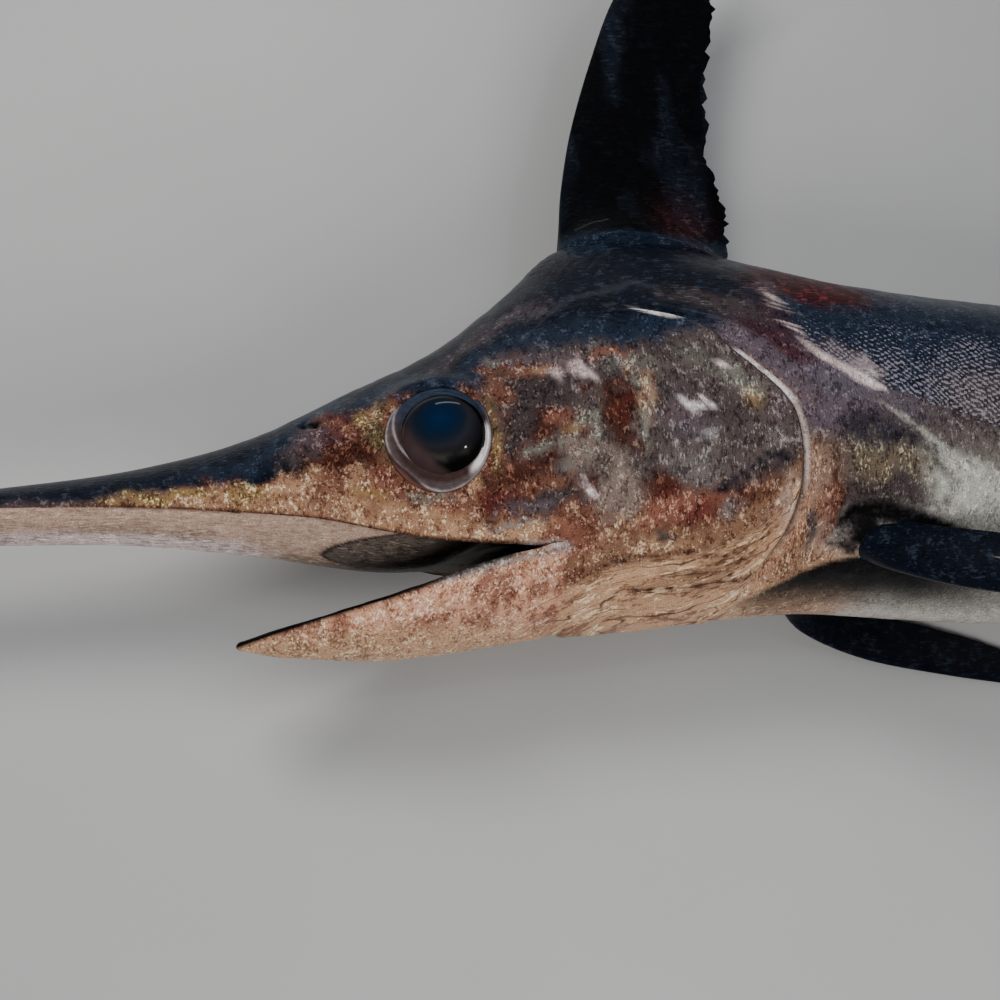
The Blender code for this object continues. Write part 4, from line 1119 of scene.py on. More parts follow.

# %% [markdown]
# The fins are blue-black, with drawn-out grain along their rays. The first dorsal fin is darkest
# over a teal line at its foot, a painted highlight, and has a painted navy sheen in places.

# %% Fins and tail
fin_part = (part == FIN) * 1.0
brush("black", fin_part, streaks=0.0, along=0.8, gloss=0.7)
brush("night", fin_part * 0.75)
dorsal = fin_part * (station < 0.12) * (level > 0.18)
brush("black", dorsal * ramp(level, 0.235, 0.26) * 1.2, gloss=0.6)
# painted highlight: the teal line at the fin's foot
brush("teal", dorsal * band(level, 0.235, 0.010) * 0.6, gloss=0.8)
sheen = ramp(noise(world * (1, 0.4, 1), 0.028, 91.0), 0.25, 0.7)
brush("navy", dorsal * sheen * 0.3)
brush("wine", dorsal * band(station, -0.055, 0.030) * band(level, 0.262, 0.030) * 0.2)
brush("brown", fin_part * (station > 0.7) * (level < 0) * 0.4)
print("the fins have", np.count_nonzero(part == FIN), "of the skin's vertices")

# %% [markdown]
# Every vertex keeps its tones, and the measures that the material's noises follow.

# %% Store the paint on the skin
def store(mesh, name, values):
    """Keeps a number or a colour for each vertex, under a name that the material reads."""
    if values.ndim == 2:
        layer = mesh.color_attributes.new(name, "FLOAT_COLOR", "POINT")
        rgba = np.concatenate([values, np.ones((len(values), 1))], axis=1)
        layer.data.foreach_set("color", rgba.ravel())
    else:
        layer = mesh.attributes.new(name, "FLOAT", "POINT")
        layer.data.foreach_set("value", values.astype(float))


layers = {
    "deep": tones[0], "main": tones[1], "pale": tones[2], "streaky": streaky,
    "lengthwise": lengthwise, "wet": wet, "hatch": hatch * (1 - scrape), "fold": under_fold,
    "fold_place": fold_place, "ray": ray_across, "fin": fin_part}
for layer_name, layer_values in layers.items():
    store(skin.data, layer_name, layer_values)
print("each vertex keeps", len(layers), "layers of paint and measures")

# %% [markdown]
# The eye needs a hole in the skin. A boolean would leave slivers along the net, so the faces over
# the eye go, and the hole's edge is drawn onto an even oval and folded in. The orbit's own ring of
# tissue then covers it.

# %% Open the orbits
SIDES = (("left", 1), ("right", -1))
HOLE, HOLE_EDGE, EDGE_FOLD = 0.92, 0.94, 0.012  # shares of the orbit's radii, and metres


def eye_frame(sign):
    """The middle of an orbit on the skin, and the directions forward, up and out of it."""
    middle = place(EYE_STATION, EYE_LEVEL, sign * eye_height)
    out = EYE_LOOK * (1, 1, sign)
    up = np.array((0, 1, 0)) - out * out[1]
    up /= np.linalg.norm(up)
    return middle, np.cross(up, out) * sign, up, out


def open_orbit(piece, sign):
    """Cuts the hole for one eye, and returns the number of faces that went."""
    middle, along, up, out = eye_frame(sign)
    bm = bmesh.new()
    bm.from_mesh(piece.data)

    def flat(point):
        from_middle = np.array(point) - middle
        return np.array((from_middle @ along, from_middle @ up)), from_middle @ out

    gone = []
    for face in bm.faces:
        centre = face.calc_center_median()
        if abs(centre.x - middle[0]) < 0.08 and sign * (centre.z - MIDPLANE_HEIGHT) > 0.02:
            spread, _ = flat(centre)
            if np.linalg.norm(spread / ORBIT_RADII) < HOLE:
                gone.append(face)
    bmesh.ops.delete(bm, geom=gone, context="FACES")
    edge = [v for v in bm.verts if v.is_boundary and sign * (v.co.z - MIDPLANE_HEIGHT) > 0.02]
    for v in edge:
        spread, rise_out = flat(v.co)
        spread *= HOLE_EDGE / np.linalg.norm(spread / ORBIT_RADII)
        v.co = Vector(middle + along * spread[0] + up * spread[1] + out * rise_out)
    loop = [e for e in bm.edges if e.is_boundary and e.verts[0] in edge]
    grown = bmesh.ops.extrude_edge_only(bm, edges=loop)["geom"]
    for v in grown:
        if isinstance(v, bmesh.types.BMVert):
            v.co -= Vector(out) * EDGE_FOLD
    bm.to_mesh(piece.data)
    bm.free()
    return len(gone)


for side_name, side_sign in SIDES:
    print("the", side_name, "orbit opened through", open_orbit(skin, side_sign), "faces")

# %% [markdown]
# ## The skin's material
# Wet, scaleless fish skin is pigment under a film of slime. The pigment lies in granules a few
# millimetres high and a little narrower, and in streaks and drawn-out folds. A painted image could
# show them, but noise of the right grain size stays sharp at any distance, so each grain below has
# its real size in metres: a noise's scale is 1 over it. One small function adds every node.

# %% Adding nodes
GRAIN_ROUGHNESS = 0.7  # how much finer grains add to a noise
PLAIN = {"Detail": 2.0, "Roughness": GRAIN_ROUGHNESS}


def add(tree, kind, inputs=(), out=0, **settings):
    """Adds a node, sets or links its inputs by number or name, and returns one of its outputs."""
    made = tree.nodes.new("ShaderNode" + kind)
    for name, value in settings.items():
        setattr(made, name, value)
    for name, value in inputs.items() if isinstance(inputs, dict) else enumerate(inputs):
        socket = made.inputs[name]
        if isinstance(value, bpy.types.NodeSocket):
            tree.links.new(value, socket)
        else:
            socket.default_value = value
    return made.outputs[out]


def new_material(name):
    """A material, its tree of nodes and its shader."""
    material = bpy.data.materials.new(name)
    material.use_nodes = True
    return material, material.node_tree, material.node_tree.nodes["Principled BSDF"]


def finish_material(tree, shader, linked, constant):
    """Links a shader's patterned inputs, and sets those that are the same all over."""
    for name, output in linked.items():
        tree.links.new(output, shader.inputs[name])
    for name, value in constant.items():
        shader.inputs[name].default_value = value


def stretched(tree, x, y, z):
    """Object coordinates, multiplied along each axis."""
    return add(tree, "VectorMath", (add(tree, "TexCoord", out="Object"), (x, y, z)),
               operation="MULTIPLY")


def two_grains(tree, vector, size, detail=2.0):
    """Two unrelated noises of one grain size, which are two parts of one noise's colour."""
    both = add(tree, "TexNoise", {"Vector": vector, "Scale": 1 / size, "Detail": detail,
                                  "Roughness": GRAIN_ROUGHNESS}, "Color")
    return [add(tree, "SeparateColor", (both,), part) for part in (0, 1)]


def on_palette(code):
    """An sRGB hex colour as a socket takes it."""
    return (*colour(code), 1)


print("half way from black to white in sRGB is %.3f in linear light" % on_palette("#808080")[0])

# %% [markdown]
# Three patterns break up the paint. Granules, streaks and folds say where its deep and its pale
# tone show. Thin dark lines follow the throat's folds, about a centimetre apart. On the shoulder
# the skin is scored by a net of pale marks 5 mm apart: two sets of wavering lines that cross, so
# only their crossings reach the threshold, and the painted strength moves that threshold.

# %% Granules, streaks and folds
GRANULE = 0.0026  # width of a pigment granule along the fish, a little less than its height
CLUSTER, RIVER = 0.010, 0.008  # width of a cluster of granules, and of a streak along a fold
PALE_FROM, PALE_TO = 0.525, 0.60
DEEP_FROM, DEEP_TO = 0.505, 0.425


def skin_pattern(tree):
    """Where the deep and the pale tone show, and the fine noise that they come from."""
    x = add(tree, "SeparateXYZ", (stretched(tree, 0.22, 1, 1),))
    fold, fold_amount, streaky, lengthwise = (
        add(tree, "Attribute", out="Fac", attribute_name=name)
        for name in ("fold", "fold_place", "streaky", "lengthwise"))
    flowing = add(tree, "Math", (fold_amount, 0.7), operation="MULTIPLY")
    flow = add(tree, "CombineXYZ", (x, fold))
    granules = two_grains(tree, stretched(tree, 1.0, 0.7, 0.9), GRANULE)
    layers = [(streaky, two_grains(tree, stretched(tree, 1.0, 0.30, 0.5), GRANULE * 0.75)),
              (lengthwise, two_grains(tree, stretched(tree, 0.14, 1.0, 1.0), GRANULE * 0.8)),
              (flowing, two_grains(tree, flow, GRANULE * 0.9))]
    clusters = two_grains(tree, stretched(tree, 1.0, 0.8, 0.9), CLUSTER, 3.0)
    rivers = two_grains(tree, flow, RIVER)
    mixed = []
    for part in (0, 1):
        fine = granules[part]
        for amount, pattern in layers:
            fine = add(tree, "Mix", {0: amount, 2: fine, 3: pattern[part]})
        wide = add(tree, "Mix", {0: fold_amount, 2: clusters[part], 3: rivers[part]})
        mixed.append(add(tree, "Mix", {0: 0.42, 2: fine, 3: wide}))
    pale = add(tree, "MapRange", (mixed[0], PALE_FROM, PALE_TO), interpolation_type="SMOOTHSTEP")
    deep = add(tree, "MapRange", (mixed[1], DEEP_FROM, DEEP_TO), interpolation_type="SMOOTHSTEP")
    return deep, pale, fine


print("a pigment granule is %.1f mm wide" % (1000 * GRANULE))

# %% Lines along the folds, and the shoulder's net of marks
CREASE_SPACING = 0.0105  # between the dark lines of the throat's folds
NET_SPACING = 0.0048  # between the net's marks on the shoulder
NET_WAVER, WAVER_LENGTH = 0.020, 0.045  # how far the net's lines wander, and over what length
FOLD_WAVER = 0.030  # the fold lines' wander, and the length over which they wander
FOLD_GAPS = 0.010  # size of the noise that breaks up the fold lines
MARKS_FROM, MARKS_TO = 6.5, 7.6  # sum of lines, grain and painted strength at which marks show


def crease_lines(tree):
    """Thin, broken dark lines along the folds under the throat."""
    fold = add(tree, "Attribute", out="Fac", attribute_name="fold")
    fold_amount = add(tree, "Attribute", out="Fac", attribute_name="fold_place")
    wide = add(tree, "TexNoise",
               {"Vector": stretched(tree, 0.35, 1, 1), "Scale": 1 / FOLD_WAVER, **PLAIN})
    warp = add(tree, "Math", (wide, FOLD_WAVER, fold), operation="MULTIPLY_ADD")
    phase = add(tree, "Math", (warp, math.pi / CREASE_SPACING), operation="MULTIPLY")
    wave = add(tree, "Math", (phase,), operation="SINE")
    wave = add(tree, "Math", (wave,), operation="ABSOLUTE")
    line = add(tree, "MapRange", (wave, 0.26, 0.06), interpolation_type="SMOOTHSTEP")
    gaps = add(tree, "TexNoise",
               {"Vector": stretched(tree, 0.12, 1, 1), "Scale": 1 / FOLD_GAPS, **PLAIN})
    broken = add(tree, "MapRange", (gaps, 0.42, 0.56), interpolation_type="SMOOTHSTEP")
    lines = add(tree, "Math", (line, broken), operation="MULTIPLY")
    return add(tree, "Math", (lines, fold_amount), operation="MULTIPLY")


def wavering_lines(tree, vector, direction, spacing, waver):
    """Parallel wavering lines across a direction: 1 on a line, -1 between two."""
    across = add(tree, "VectorMath", (vector, direction), "Value", operation="DOT_PRODUCT")
    bent = add(tree, "Math", (waver, NET_WAVER, across), operation="MULTIPLY_ADD")
    phase = add(tree, "Math", (bent, 2 * math.pi / spacing), operation="MULTIPLY")
    return add(tree, "Math", (phase,), operation="SINE")


def net_marks(tree, fine):
    """The net of pale marks on the shoulder."""
    strength = add(tree, "Attribute", out="Fac", attribute_name="hatch")
    vector = stretched(tree, 1, 1, 1)
    waver = add(tree, "TexNoise", {"Vector": vector, "Scale": 1 / WAVER_LENGTH, **PLAIN})
    cells = wavering_lines(tree, vector, (0.72, 0.69, 0.0), NET_SPACING, waver)
    rows = wavering_lines(tree, vector, (0.34, -0.94, 0.0), NET_SPACING * 1.1, waver)
    for value, factor in ((rows, 0.8), (fine, 10.0), (strength, 1.6)):
        cells = add(tree, "Math", (value, factor, cells), operation="MULTIPLY_ADD")
    marks = add(tree, "MapRange", (cells, MARKS_FROM, MARKS_TO),
                interpolation_type="SMOOTHSTEP")
    present = add(tree, "MapRange", (strength, 0.0, 0.25), interpolation_type="SMOOTHSTEP")
    return add(tree, "Math", (marks, present), operation="MULTIPLY")


print("the net's marks lie %.1f mm apart" % (1000 * NET_SPACING))

# %% [markdown]
# Slime gives the skin a satin ground, rougher where it dries, and a thin clear coat (water's IOR
# is 1.33). The ground's own IOR is low, because the film and the skin have nearly the same one.
# Wrinkles and the fins' rays are finer than the mesh, so they come from bump.

# %% Colour, roughness and bump of wet fish skin
RAY_BUMP_SPACING = 0.0025  # between the fine ridges on a fin's rays
WRINKLES_PER_METRE = 230.0  # each is a little over 4 mm wide
SPECK, FILM_PATCH = 0.0013, 0.014  # width of a dark or light speck, and of a patch of film
BUMP_HEIGHT = 0.0013  # of the whole range of the bump's pattern


def skin_colour(tree, deep, pale, creased, marks):
    """The main tone, with the other tones, the creases, fine shading and the net laid over it."""
    pigment, deep_tone, pale_tone = (
        add(tree, "Attribute", out="Color", attribute_name=name)
        for name in ("main", "deep", "pale"))
    for where, strength, over in ((deep, 0.90, deep_tone), (pale, 0.90, pale_tone),
                                  (creased, 0.8, on_palette("#3d2a20"))):
        amount = add(tree, "Math", (where, strength), operation="MULTIPLY")
        pigment = add(tree, "Mix", {0: amount, 6: pigment, 7: over}, 2, data_type="RGBA")
    micro = add(tree, "TexNoise",
                {"Vector": stretched(tree, 1, 1, 1), "Scale": 1 / SPECK, **PLAIN})
    shade = add(tree, "MapRange", (micro, 0.3, 0.7, 0.62, 1.38))
    pigment = add(tree, "Mix", {0: 1.0, 6: pigment, 7: shade}, 2, data_type="RGBA",
                  blend_type="MULTIPLY")
    amount = add(tree, "Math", (marks, 0.75), operation="MULTIPLY")
    return add(tree, "Mix", {0: amount, 6: pigment, 7: on_palette("#948b95")}, 2,
               data_type="RGBA")


def skin_roughness(tree):
    """Smooth where the painted skin is wet, and uneven where the film is thin."""
    wetness = add(tree, "Attribute", out="Fac", attribute_name="wet")
    rough = add(tree, "Math", (wetness, -0.40, 0.58), operation="MULTIPLY_ADD")
    film = add(tree, "TexNoise",
               {"Vector": stretched(tree, 1, 1, 1), "Scale": 1 / FILM_PATCH, **PLAIN})
    return add(tree, "Math", (film, 0.20, rough), operation="MULTIPLY_ADD")


def skin_bump(tree, fine, marks, creased):
    """Wrinkles, the fins' fine rays, granules, marks and creases as one bump."""
    ray = add(tree, "Attribute", out="Fac", attribute_name="ray")
    on_fin = add(tree, "Attribute", out="Fac", attribute_name="fin")
    phase = add(tree, "Math", (ray, 2 * math.pi / RAY_BUMP_SPACING), operation="MULTIPLY")
    ridges = add(tree, "Math", (phase,), operation="SINE")
    rays = add(tree, "Math", (ridges, on_fin), operation="MULTIPLY")
    wrinkles = add(tree, "TexNoise", {"Vector": stretched(tree, 0.8, 1.0, 1.0),
                                      "Scale": WRINKLES_PER_METRE, "Detail": 4.0,
                                      "Roughness": 0.65})
    height = add(tree, "Math", (wrinkles, 0.6), operation="MULTIPLY")
    for value, factor in ((rays, 0.03), (fine, 0.8), (marks, 0.2), (creased, -0.5)):
        height = add(tree, "Math", (value, factor, height), operation="MULTIPLY_ADD")
    return add(tree, "Bump", {"Height": height, "Distance": BUMP_HEIGHT, "Strength": 0.7})


print("a ray's fine ridges lie %.1f mm apart" % (1000 * RAY_BUMP_SPACING))


# %% Wet fish skin
def wet_fish_skin():
    """The skin's finish: satin pigment under a thin clear coat of slime."""
    material, tree, shader = new_material("wet_fish_skin")
    deep, pale, fine = skin_pattern(tree)
    creased = crease_lines(tree)
    marks = net_marks(tree, fine)
    finish_material(tree, shader,
                    {"Base Color": skin_colour(tree, deep, pale, creased, marks),
                     "Roughness": skin_roughness(tree),
                     "Normal": skin_bump(tree, fine, marks, creased)},
                    {"IOR": 1.30, "Coat Weight": 0.20, "Coat Roughness": 0.10, "Coat IOR": 1.33})
    return material


skin.data.materials.append(wet_fish_skin())
skin.data.shade_smooth()
flesh = [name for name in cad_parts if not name.startswith("eye_")]
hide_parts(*flesh)
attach(skin, "root")
print("the skin stands for", len(flesh), "nodes")

# %% [markdown]
# ## The eyes
# A swordfish's eye is as wide as a fist: a clear, gently domed cornea over a pupil so large that
# it nearly fills the eye. The pupil is deep blue inside and grey towards its rim, some iris
# glimmers at its lower side, and loose tissue lies over the eyeball's lower front. A glass shell
# over a modelled pupil would need its own light inside. A flattened sphere with a clear coat looks
# the same from outside, and its zones are numbers on its vertices, with soft, uneven edges.

# %% Material of the eyeballs
EYEBALL_RADIUS, EYEBALL_DEPTH, EYEBALL_SUNK = 0.0415, 0.017, 0.0085
PUPIL_SHIFT = (0.0045, 0.0025)  # how far the eyeball lies behind and above the orbit's middle
LID_DIRECTION = (0.795, 0.606)  # forwards and down, from the eyeball's middle
CLOUDS_PER_METRE = 45.0  # in the pupil, each is about 22 mm wide


def tangent_turn(sign):
    """The matrix that carries an eye from the origin, looking up, to its place."""
    middle, along, up, out = eye_frame(sign)
    turn = np.eye(4)
    turn[:3, 0], turn[:3, 1], turn[:3, 2] = np.cross(up, out), up, out
    turn[:3, 3] = middle
    return Matrix(turn)


def deselect_all():
    """Lets an operator work on nothing but what it makes or is given next."""
    for thing in bpy.context.selected_objects:
        thing.select_set(False)


def cornea():
    """A glossy dark eye: the clear coat is the cornea's wet surface (its IOR is 1.38)."""
    material, tree, shader = new_material("wet_cornea_over_pupil")
    across, iris, lid = (add(tree, "Attribute", out="Fac", attribute_name=name)
                         for name in ("across", "iris", "lid"))
    soft = add(tree, "TexNoise",
               {"Vector": stretched(tree, 1, 1, 1), "Scale": CLOUDS_PER_METRE, "Detail": 3.0})
    reach = add(tree, "Math", (soft, 0.16, across), operation="MULTIPLY_ADD")
    tint = add(tree, "ValToRGB", (reach,))
    depths = tint.node.color_ramp.elements
    stops = [(0.0, "#02203f"), (0.34, "#031a33"), (0.52, "#101a28"), (0.68, "#212228"),
             (0.88, "#131115"), (1.0, "#020202")]
    while len(depths) < len(stops):
        depths.new(0.5)
    for element, (at, code) in zip(depths, stops):
        element.position = at
        element.color = on_palette(code)
    uneven = add(tree, "MapRange", (soft, 0.38, 0.66), interpolation_type="SMOOTHSTEP")
    glint = add(tree, "Math", (iris, uneven), operation="MULTIPLY")
    tint = add(tree, "Mix", {0: glint, 6: tint, 7: on_palette("#33322f")}, 2, data_type="RGBA")
    tissue = add(tree, "Mix", {0: soft, 6: on_palette("#1f1517"), 7: on_palette("#4c3c3c")}, 2,
                 data_type="RGBA")
    tint = add(tree, "Mix", {0: lid, 6: tint, 7: tissue}, 2, data_type="RGBA")
    finish_material(tree, shader, {"Base Color": tint},
                    {"Roughness": 0.5, "IOR": 1.05, "Coat Weight": 1.0, "Coat Roughness": 0.03,
                     "Coat IOR": 1.38})
    return material


eye_material = cornea()
print("the eyeballs' material has", len(eye_material.node_tree.nodes), "nodes")


# %% Eyeballs
def add_eyeball(side_name, sign):
    """Adds one flattened sphere, with its zones stored on its points."""
    deselect_all()
    bpy.ops.mesh.primitive_uv_sphere_add(segments=96, ring_count=64, radius=1.0)
    eye = bpy.context.object
    eye.name = "eyeball_" + side_name
    points = np.array([v.co for v in eye.data.vertices])
    from_deepest = np.hypot(points[:, 0] + sign * 0.06, points[:, 1] - 0.30)
    rim = np.hypot(points[:, 0], points[:, 1])
    across = np.maximum(0.85 * from_deepest, ramp(rim, 0.72, 0.92))
    lower_iris = band(rim, 0.66, 0.10) * ramp(-points[:, 1], 0.25, 0.55)
    cos, sin = LID_DIRECTION
    towards_jaw = -cos * sign * points[:, 0] - sin * points[:, 1]
    along_lid = sin * sign * points[:, 0] - cos * points[:, 1]
    lid = ramp(towards_jaw + 0.10 * along_lid**2 + 0.02 * np.sin(9 * along_lid), 0.50, 0.70)
    points *= (EYEBALL_RADIUS, EYEBALL_RADIUS, EYEBALL_DEPTH)
    points += (sign * PUPIL_SHIFT[0], PUPIL_SHIFT[1], -EYEBALL_SUNK)
    eye.data.vertices.foreach_set("co", points.ravel())
    store(eye.data, "across", across)
    store(eye.data, "iris", lower_iris * (1 - lid))
    store(eye.data, "lid", lid)
    eye.data.transform(tangent_turn(sign))
    face_outwards(eye)
    eye.data.shade_smooth()
    eye.data.materials.append(eye_material)
    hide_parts("eye_" + side_name)
    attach(eye, "root")
    return eye


for side_name, side_sign in SIDES:
    add_eyeball(side_name, side_sign)
print("an eyeball is %.0f mm wide" % (2000 * EYEBALL_RADIUS))

# %% [markdown]
# Round the eye lies a ring of loose, silvery-pink tissue. A torus would stand up like a tyre, so
# the ring is laid as a polar net: its outer edge follows the skin, and its inner edge is a flat
# oval against the eyeball. Low folds run round it. Pale washes along some of them and a white
# crescent are painted highlights, and a dark band outside the ring's lower front is painted
# shadow.

# %% Material of the tissue
RING_INNER = np.array((0.0358, 0.0390))
RING_TURNS, RING_STEPS = 160, 26
INNER_DEPTH, RING_LIFT, RING_WALL = 0.0035, 0.0014, 0.002
FLECKS_PER_METRE = 180.0  # in the tissue, each is between 5 and 6 mm wide


def orbit_tissue():
    """Thin translucent tissue over the eye socket: satin, wet, with painted highlights on its
    folds.
    """
    material, tree, shader = new_material("wet_orbit_tissue")
    mottle = add(tree, "TexNoise", {"Vector": stretched(tree, 1, 1, 1),
                                    "Scale": FLECKS_PER_METRE, "Detail": 5.0, "Roughness": 0.6})
    shade = add(tree, "MapRange", (mottle, 0.35, 0.65, 0.75, 1.2))
    light = add(tree, "Attribute", out="Color", attribute_name="light")
    tint = add(tree, "Mix", {0: 1.0, 6: light, 7: shade}, 2, data_type="RGBA",
               blend_type="MULTIPLY")
    bump = add(tree, "Bump", {"Height": mottle, "Distance": 0.0006, "Strength": 0.4})
    finish_material(tree, shader, {"Base Color": tint, "Normal": bump},
                    {"Roughness": 0.35, "Subsurface Weight": 0.15, "Subsurface Scale": 0.003,
                     "Coat Weight": 0.5, "Coat Roughness": 0.08, "Coat IOR": 1.33})
    return material


ring_material = orbit_tissue()


print("the tissue's material has", len(ring_material.node_tree.nodes), "nodes")

# %% Shape and paint of an orbit ring
turns = np.linspace(0, 2 * np.pi, RING_TURNS, endpoint=False)[:, None]
share = np.linspace(0, 1, RING_STEPS)[None]
uneven = share + 0.05 * np.sin(2 * turns + 0.6) + 0.025 * np.sin(5 * turns + 2) * share


def ring_points(sign):
    """The ring's points, from its inner edge out to the skin."""
    middle, along, up, out = eye_frame(sign)
    inner_x, inner_y = (RING_INNER[i] * turn + PUPIL_SHIFT[i]
                        for i, turn in enumerate((np.cos(turns), np.sin(turns))))
    x = inner_x * (1 - share) + ORBIT_RADII[0] * np.cos(turns) * share
    y = inner_y * (1 - share) + ORBIT_RADII[1] * np.sin(turns) * share
    base = middle + along * x[..., None] + up * y[..., None]
    skin_out = surface_offset(base[..., 0] - GILL_X, base[..., 1])
    on_skin = place(base[..., 0] - GILL_X, base[..., 1], sign * skin_out)
    lift = ((on_skin - base) @ out) + RING_LIFT
    blend = ramp(share, 0.10, 0.95)
    folds = 0.0008 * np.sin(uneven * 2 * np.pi * 2.1) + 0.0004 * np.sin(uneven * 2 * np.pi * 5.3)
    folds = folds * np.sin(np.pi * share)
    height = lift * blend - INNER_DEPTH * (1 - blend) + folds - 0.003 * (share > 0.97)
    return base + out * height[..., None]


def ring_tint():
    """The ring's colours. Angles run round the eye from behind it, over its top, to its front."""
    tint = np.tile(colour("#3a2a27"), (RING_TURNS, RING_STEPS, 1))

    def wash(mask, code):
        mask = np.clip(np.broadcast_to(mask, (RING_TURNS, RING_STEPS)), 0, 1)[..., None]
        tint[:] = tint * (1 - mask) + colour(code) * mask

    upper, low = ramp(np.sin(turns), 0.0, 0.7), ramp(-np.sin(turns), -0.2, 0.7)
    front, hind = ramp(-np.cos(turns), -0.2, 0.7), ramp(np.cos(turns), 0.1, 0.8)
    corner = ramp(np.cos(turns + 0.38), 0.80, 0.97)
    degrees = np.degrees(turns)
    outer_line = np.interp(degrees, [150, 180, 200, 215, 225, 240, 253, 270],
                           [0.92, 0.92, 0.82, 0.66, 0.60, 0.66, 0.80, 0.92])
    inner_line = np.interp(degrees, [130, 150, 165, 180, 200, 222],
                           [0.9, 0.78, 0.62, 0.45, 0.22, 0.0])
    wash(upper, "#2a3446")
    wash(ramp(share, 0.35, 0.75) * low * 0.8, "#594f50")
    wash(ramp(share, 0.3, 0.8) * front * (1 - upper) * (1 - low) * 0.45, "#6f6161")
    outside_line = ramp(share, outer_line, outer_line + 0.08)
    wash(outside_line * ramp(degrees, 185, 205) * (degrees < 280), "#5a3a31")
    # gap: the lower front arc where the outer painted highlight fades and a painted shadow lies
    # outside
    gap = ramp(degrees, 182, 204) * (1 - ramp(degrees, 238, 254))
    outer_range = ramp(degrees, 125, 150) * (1 - ramp(degrees, 290, 315))
    # painted highlight: a pale line along the outer fold
    wash(band(share, outer_line, 0.055) * outer_range * (1 - 0.8 * gap) * 0.8, "#aaa3a3")
    # painted shadow just outside the ring in that arc
    wash(band(share, outer_line + 0.08, 0.07) * gap * 0.8, "#1f1618")
    inner_range = ramp(degrees, 130, 155) * (1 - ramp(degrees, 205, 225))
    # painted highlight: a pale line along an inner fold at the front
    wash(band(share, inner_line, 0.06) * inner_range * 0.85, "#a39b9e")
    wash(band(uneven, 0.86, 0.06) * hind * (1 - upper) * 0.6, "#8d8284")
    # painted highlight: a white crescent on the hind lower side
    wash(band(share, 0.50, 0.22) * corner * 1.4, "#faf5f6")
    wash(band(share, 0.0, 0.05) * (1 - gap), "#08070a")
    wash(band(share, 1.0, 0.06), "#2a1e1b")
    return tint.reshape(-1, 3)


print("the ring's folds are up to 1 mm high and its wall is %.0f mm thick" % (1000 * RING_WALL))


# %% Orbit rings
def add_orbit_ring(side_name, sign):
    """Adds one ring, gives it a wall and lays it on its body."""
    out = eye_frame(sign)[3]
    numbers = np.arange(RING_TURNS * RING_STEPS).reshape(RING_TURNS, RING_STEPS)
    after = np.roll(numbers, -1, axis=0)
    quads = np.stack([numbers[:, :-1], after[:, :-1], after[:, 1:], numbers[:, 1:]], axis=-1)
    ring = mesh_from_net("orbit_ring_" + side_name, ring_points(sign).reshape(-1, 3),
                         [tuple(int(i) for i in quad) for quad in quads.reshape(-1, 4)])
    store(ring.data, "light", ring_tint())
    ring.data.materials.append(ring_material)
    deselect_all()
    ring.select_set(True)
    bpy.context.view_layer.objects.active = ring
    wall = ring.modifiers.new("wall", "SOLIDIFY")
    wall.thickness = RING_WALL
    wall.offset = -1
    face_outwards(ring)
    if vertex_normals(ring.data)[0] @ out < 0:
        ring.data.flip_normals()
    bpy.ops.object.modifier_apply(modifier=wall.name)
    ring.data.shade_smooth()
    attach(ring, "root")
    return ring


for side_name, side_sign in SIDES:
    add_orbit_ring(side_name, side_sign)
print("each ring of tissue has", RING_TURNS * (RING_STEPS - 1), "meshes on its upper side")

# %% [markdown]
# ## Floor and light
# The floor is plain and pale. Three wide lamps give the soft light of an open sky: a key lamp
# from behind the back, one from the belly's side and one from above. Wet skin would mirror them
# as pale sheets, so they have no reflection of their own. A long strip behind the back draws the
# highlights along the back and the bill, and a small lamp sets a spark in the eye. A weak sky
# fills the shadows.

# %% Floor
FLOOR_SIZE = 14.0
SHADES_PER_METRE = 3.0  # faint clouds on the floor, a third of a metre wide


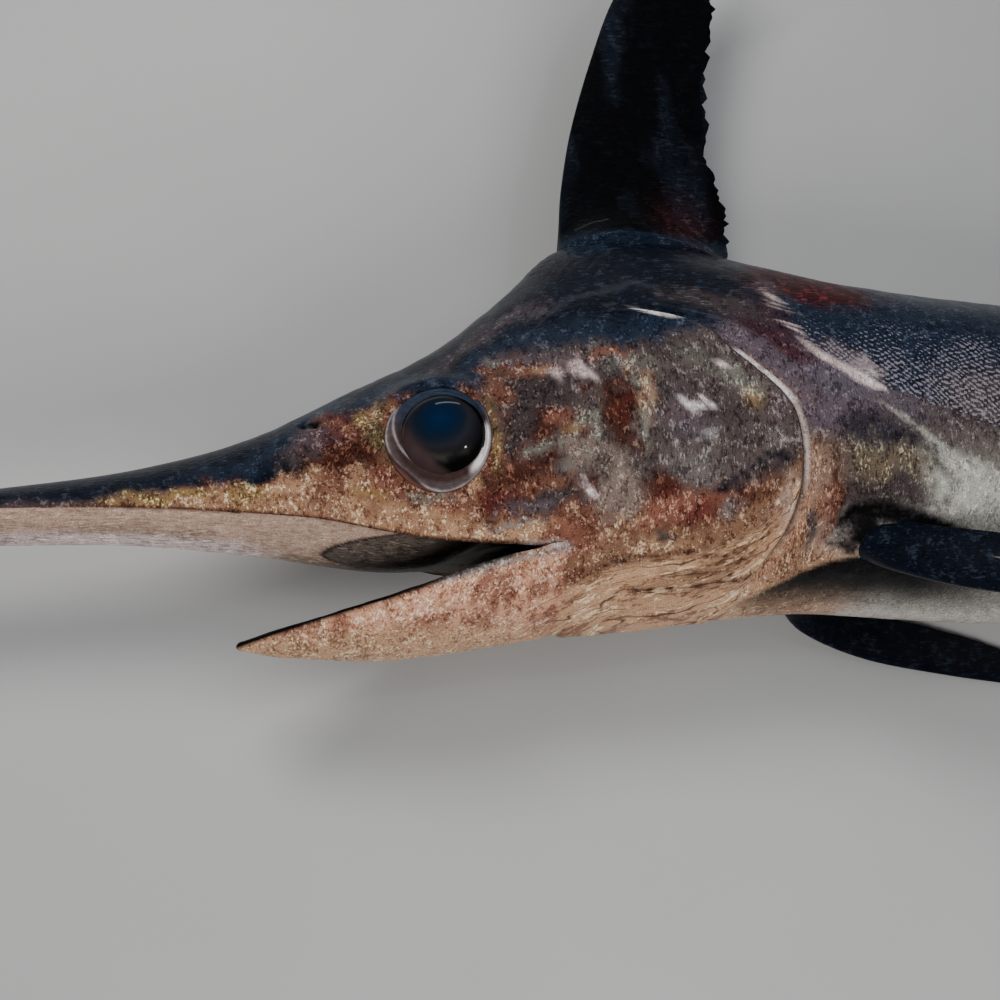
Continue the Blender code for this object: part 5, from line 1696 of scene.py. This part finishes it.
def add_floor():
    """Adds the floor, half a millimetre under the fish."""
    deselect_all()
    bpy.ops.mesh.primitive_plane_add(size=FLOOR_SIZE)
    floor = bpy.context.object
    floor.name = "floor"
    floor.data.transform(Matrix.Translation((0, 0, -0.0005)))
    material, tree, shader = new_material("matt_floor")
    cloud = add(tree, "TexNoise",
                {"Vector": stretched(tree, 1, 1, 1), "Scale": SHADES_PER_METRE, "Detail": 4.0})
    grey = add(tree, "Mix", {0: cloud, 6: on_palette("#b4b5b6"), 7: on_palette("#bfc0c1")}, 2,
               data_type="RGBA")
    finish_material(tree, shader, {"Base Color": grey}, {"Roughness": 0.8})
    floor.data.materials.append(material)
    return floor


floor = add_floor()
print("the floor is", FLOOR_SIZE, "m wide")

# %% Lights
def add_light(name, location, target, size, power, tint, glossy=True):
    """A soft lamp. One that isn't glossy lights the flesh without a reflection of its own."""
    data = bpy.data.lights.new(name, "AREA")
    data.shape = "RECTANGLE"
    data.size, data.size_y = size
    data.energy = power
    data.color = tint
    lamp = bpy.data.objects.new(name, data)
    lamp.location = location
    direction = Vector(target) - Vector(location)
    lamp.rotation_euler = direction.to_track_quat("-Z", "Y").to_euler()
    lamp.visible_glossy = glossy
    bpy.context.scene.collection.objects.link(lamp)


HEAD = (-0.4, 0.0, 0.1)
DAYLIGHT, SKYLIGHT = (1.0, 0.97, 0.93), (0.90, 0.95, 1.0)
add_light("key", (-1.3, 1.2, 2.1), HEAD, (0.9, 0.9), 40, DAYLIGHT, glossy=False)
add_light("front", (-0.2, -2.0, 1.7), HEAD, (1.4, 1.4), 44, DAYLIGHT, glossy=False)
add_light("overhead", (0.3, 0.3, 3.2), (0.2, 0.0, 0.1), (2.4, 1.6), 18, SKYLIGHT, glossy=False)
add_light("strip", (-0.5, 2.5, 0.95), HEAD, (1.2, 0.20), 2.8, SKYLIGHT)
add_light("sparkle", (-0.05, 0.1, 2.3), HEAD, (0.10, 0.10), 1.6, DAYLIGHT)
sky = bpy.data.worlds.new("sky")
bpy.context.scene.world = sky
sky.use_nodes = True
background = sky.node_tree.nodes["Background"]
background.inputs["Color"].default_value = (0.80, 0.86, 0.95, 1)
background.inputs["Strength"].default_value = 0.085
print("the scene has", len(bpy.data.lights), "lamps and a weak sky")
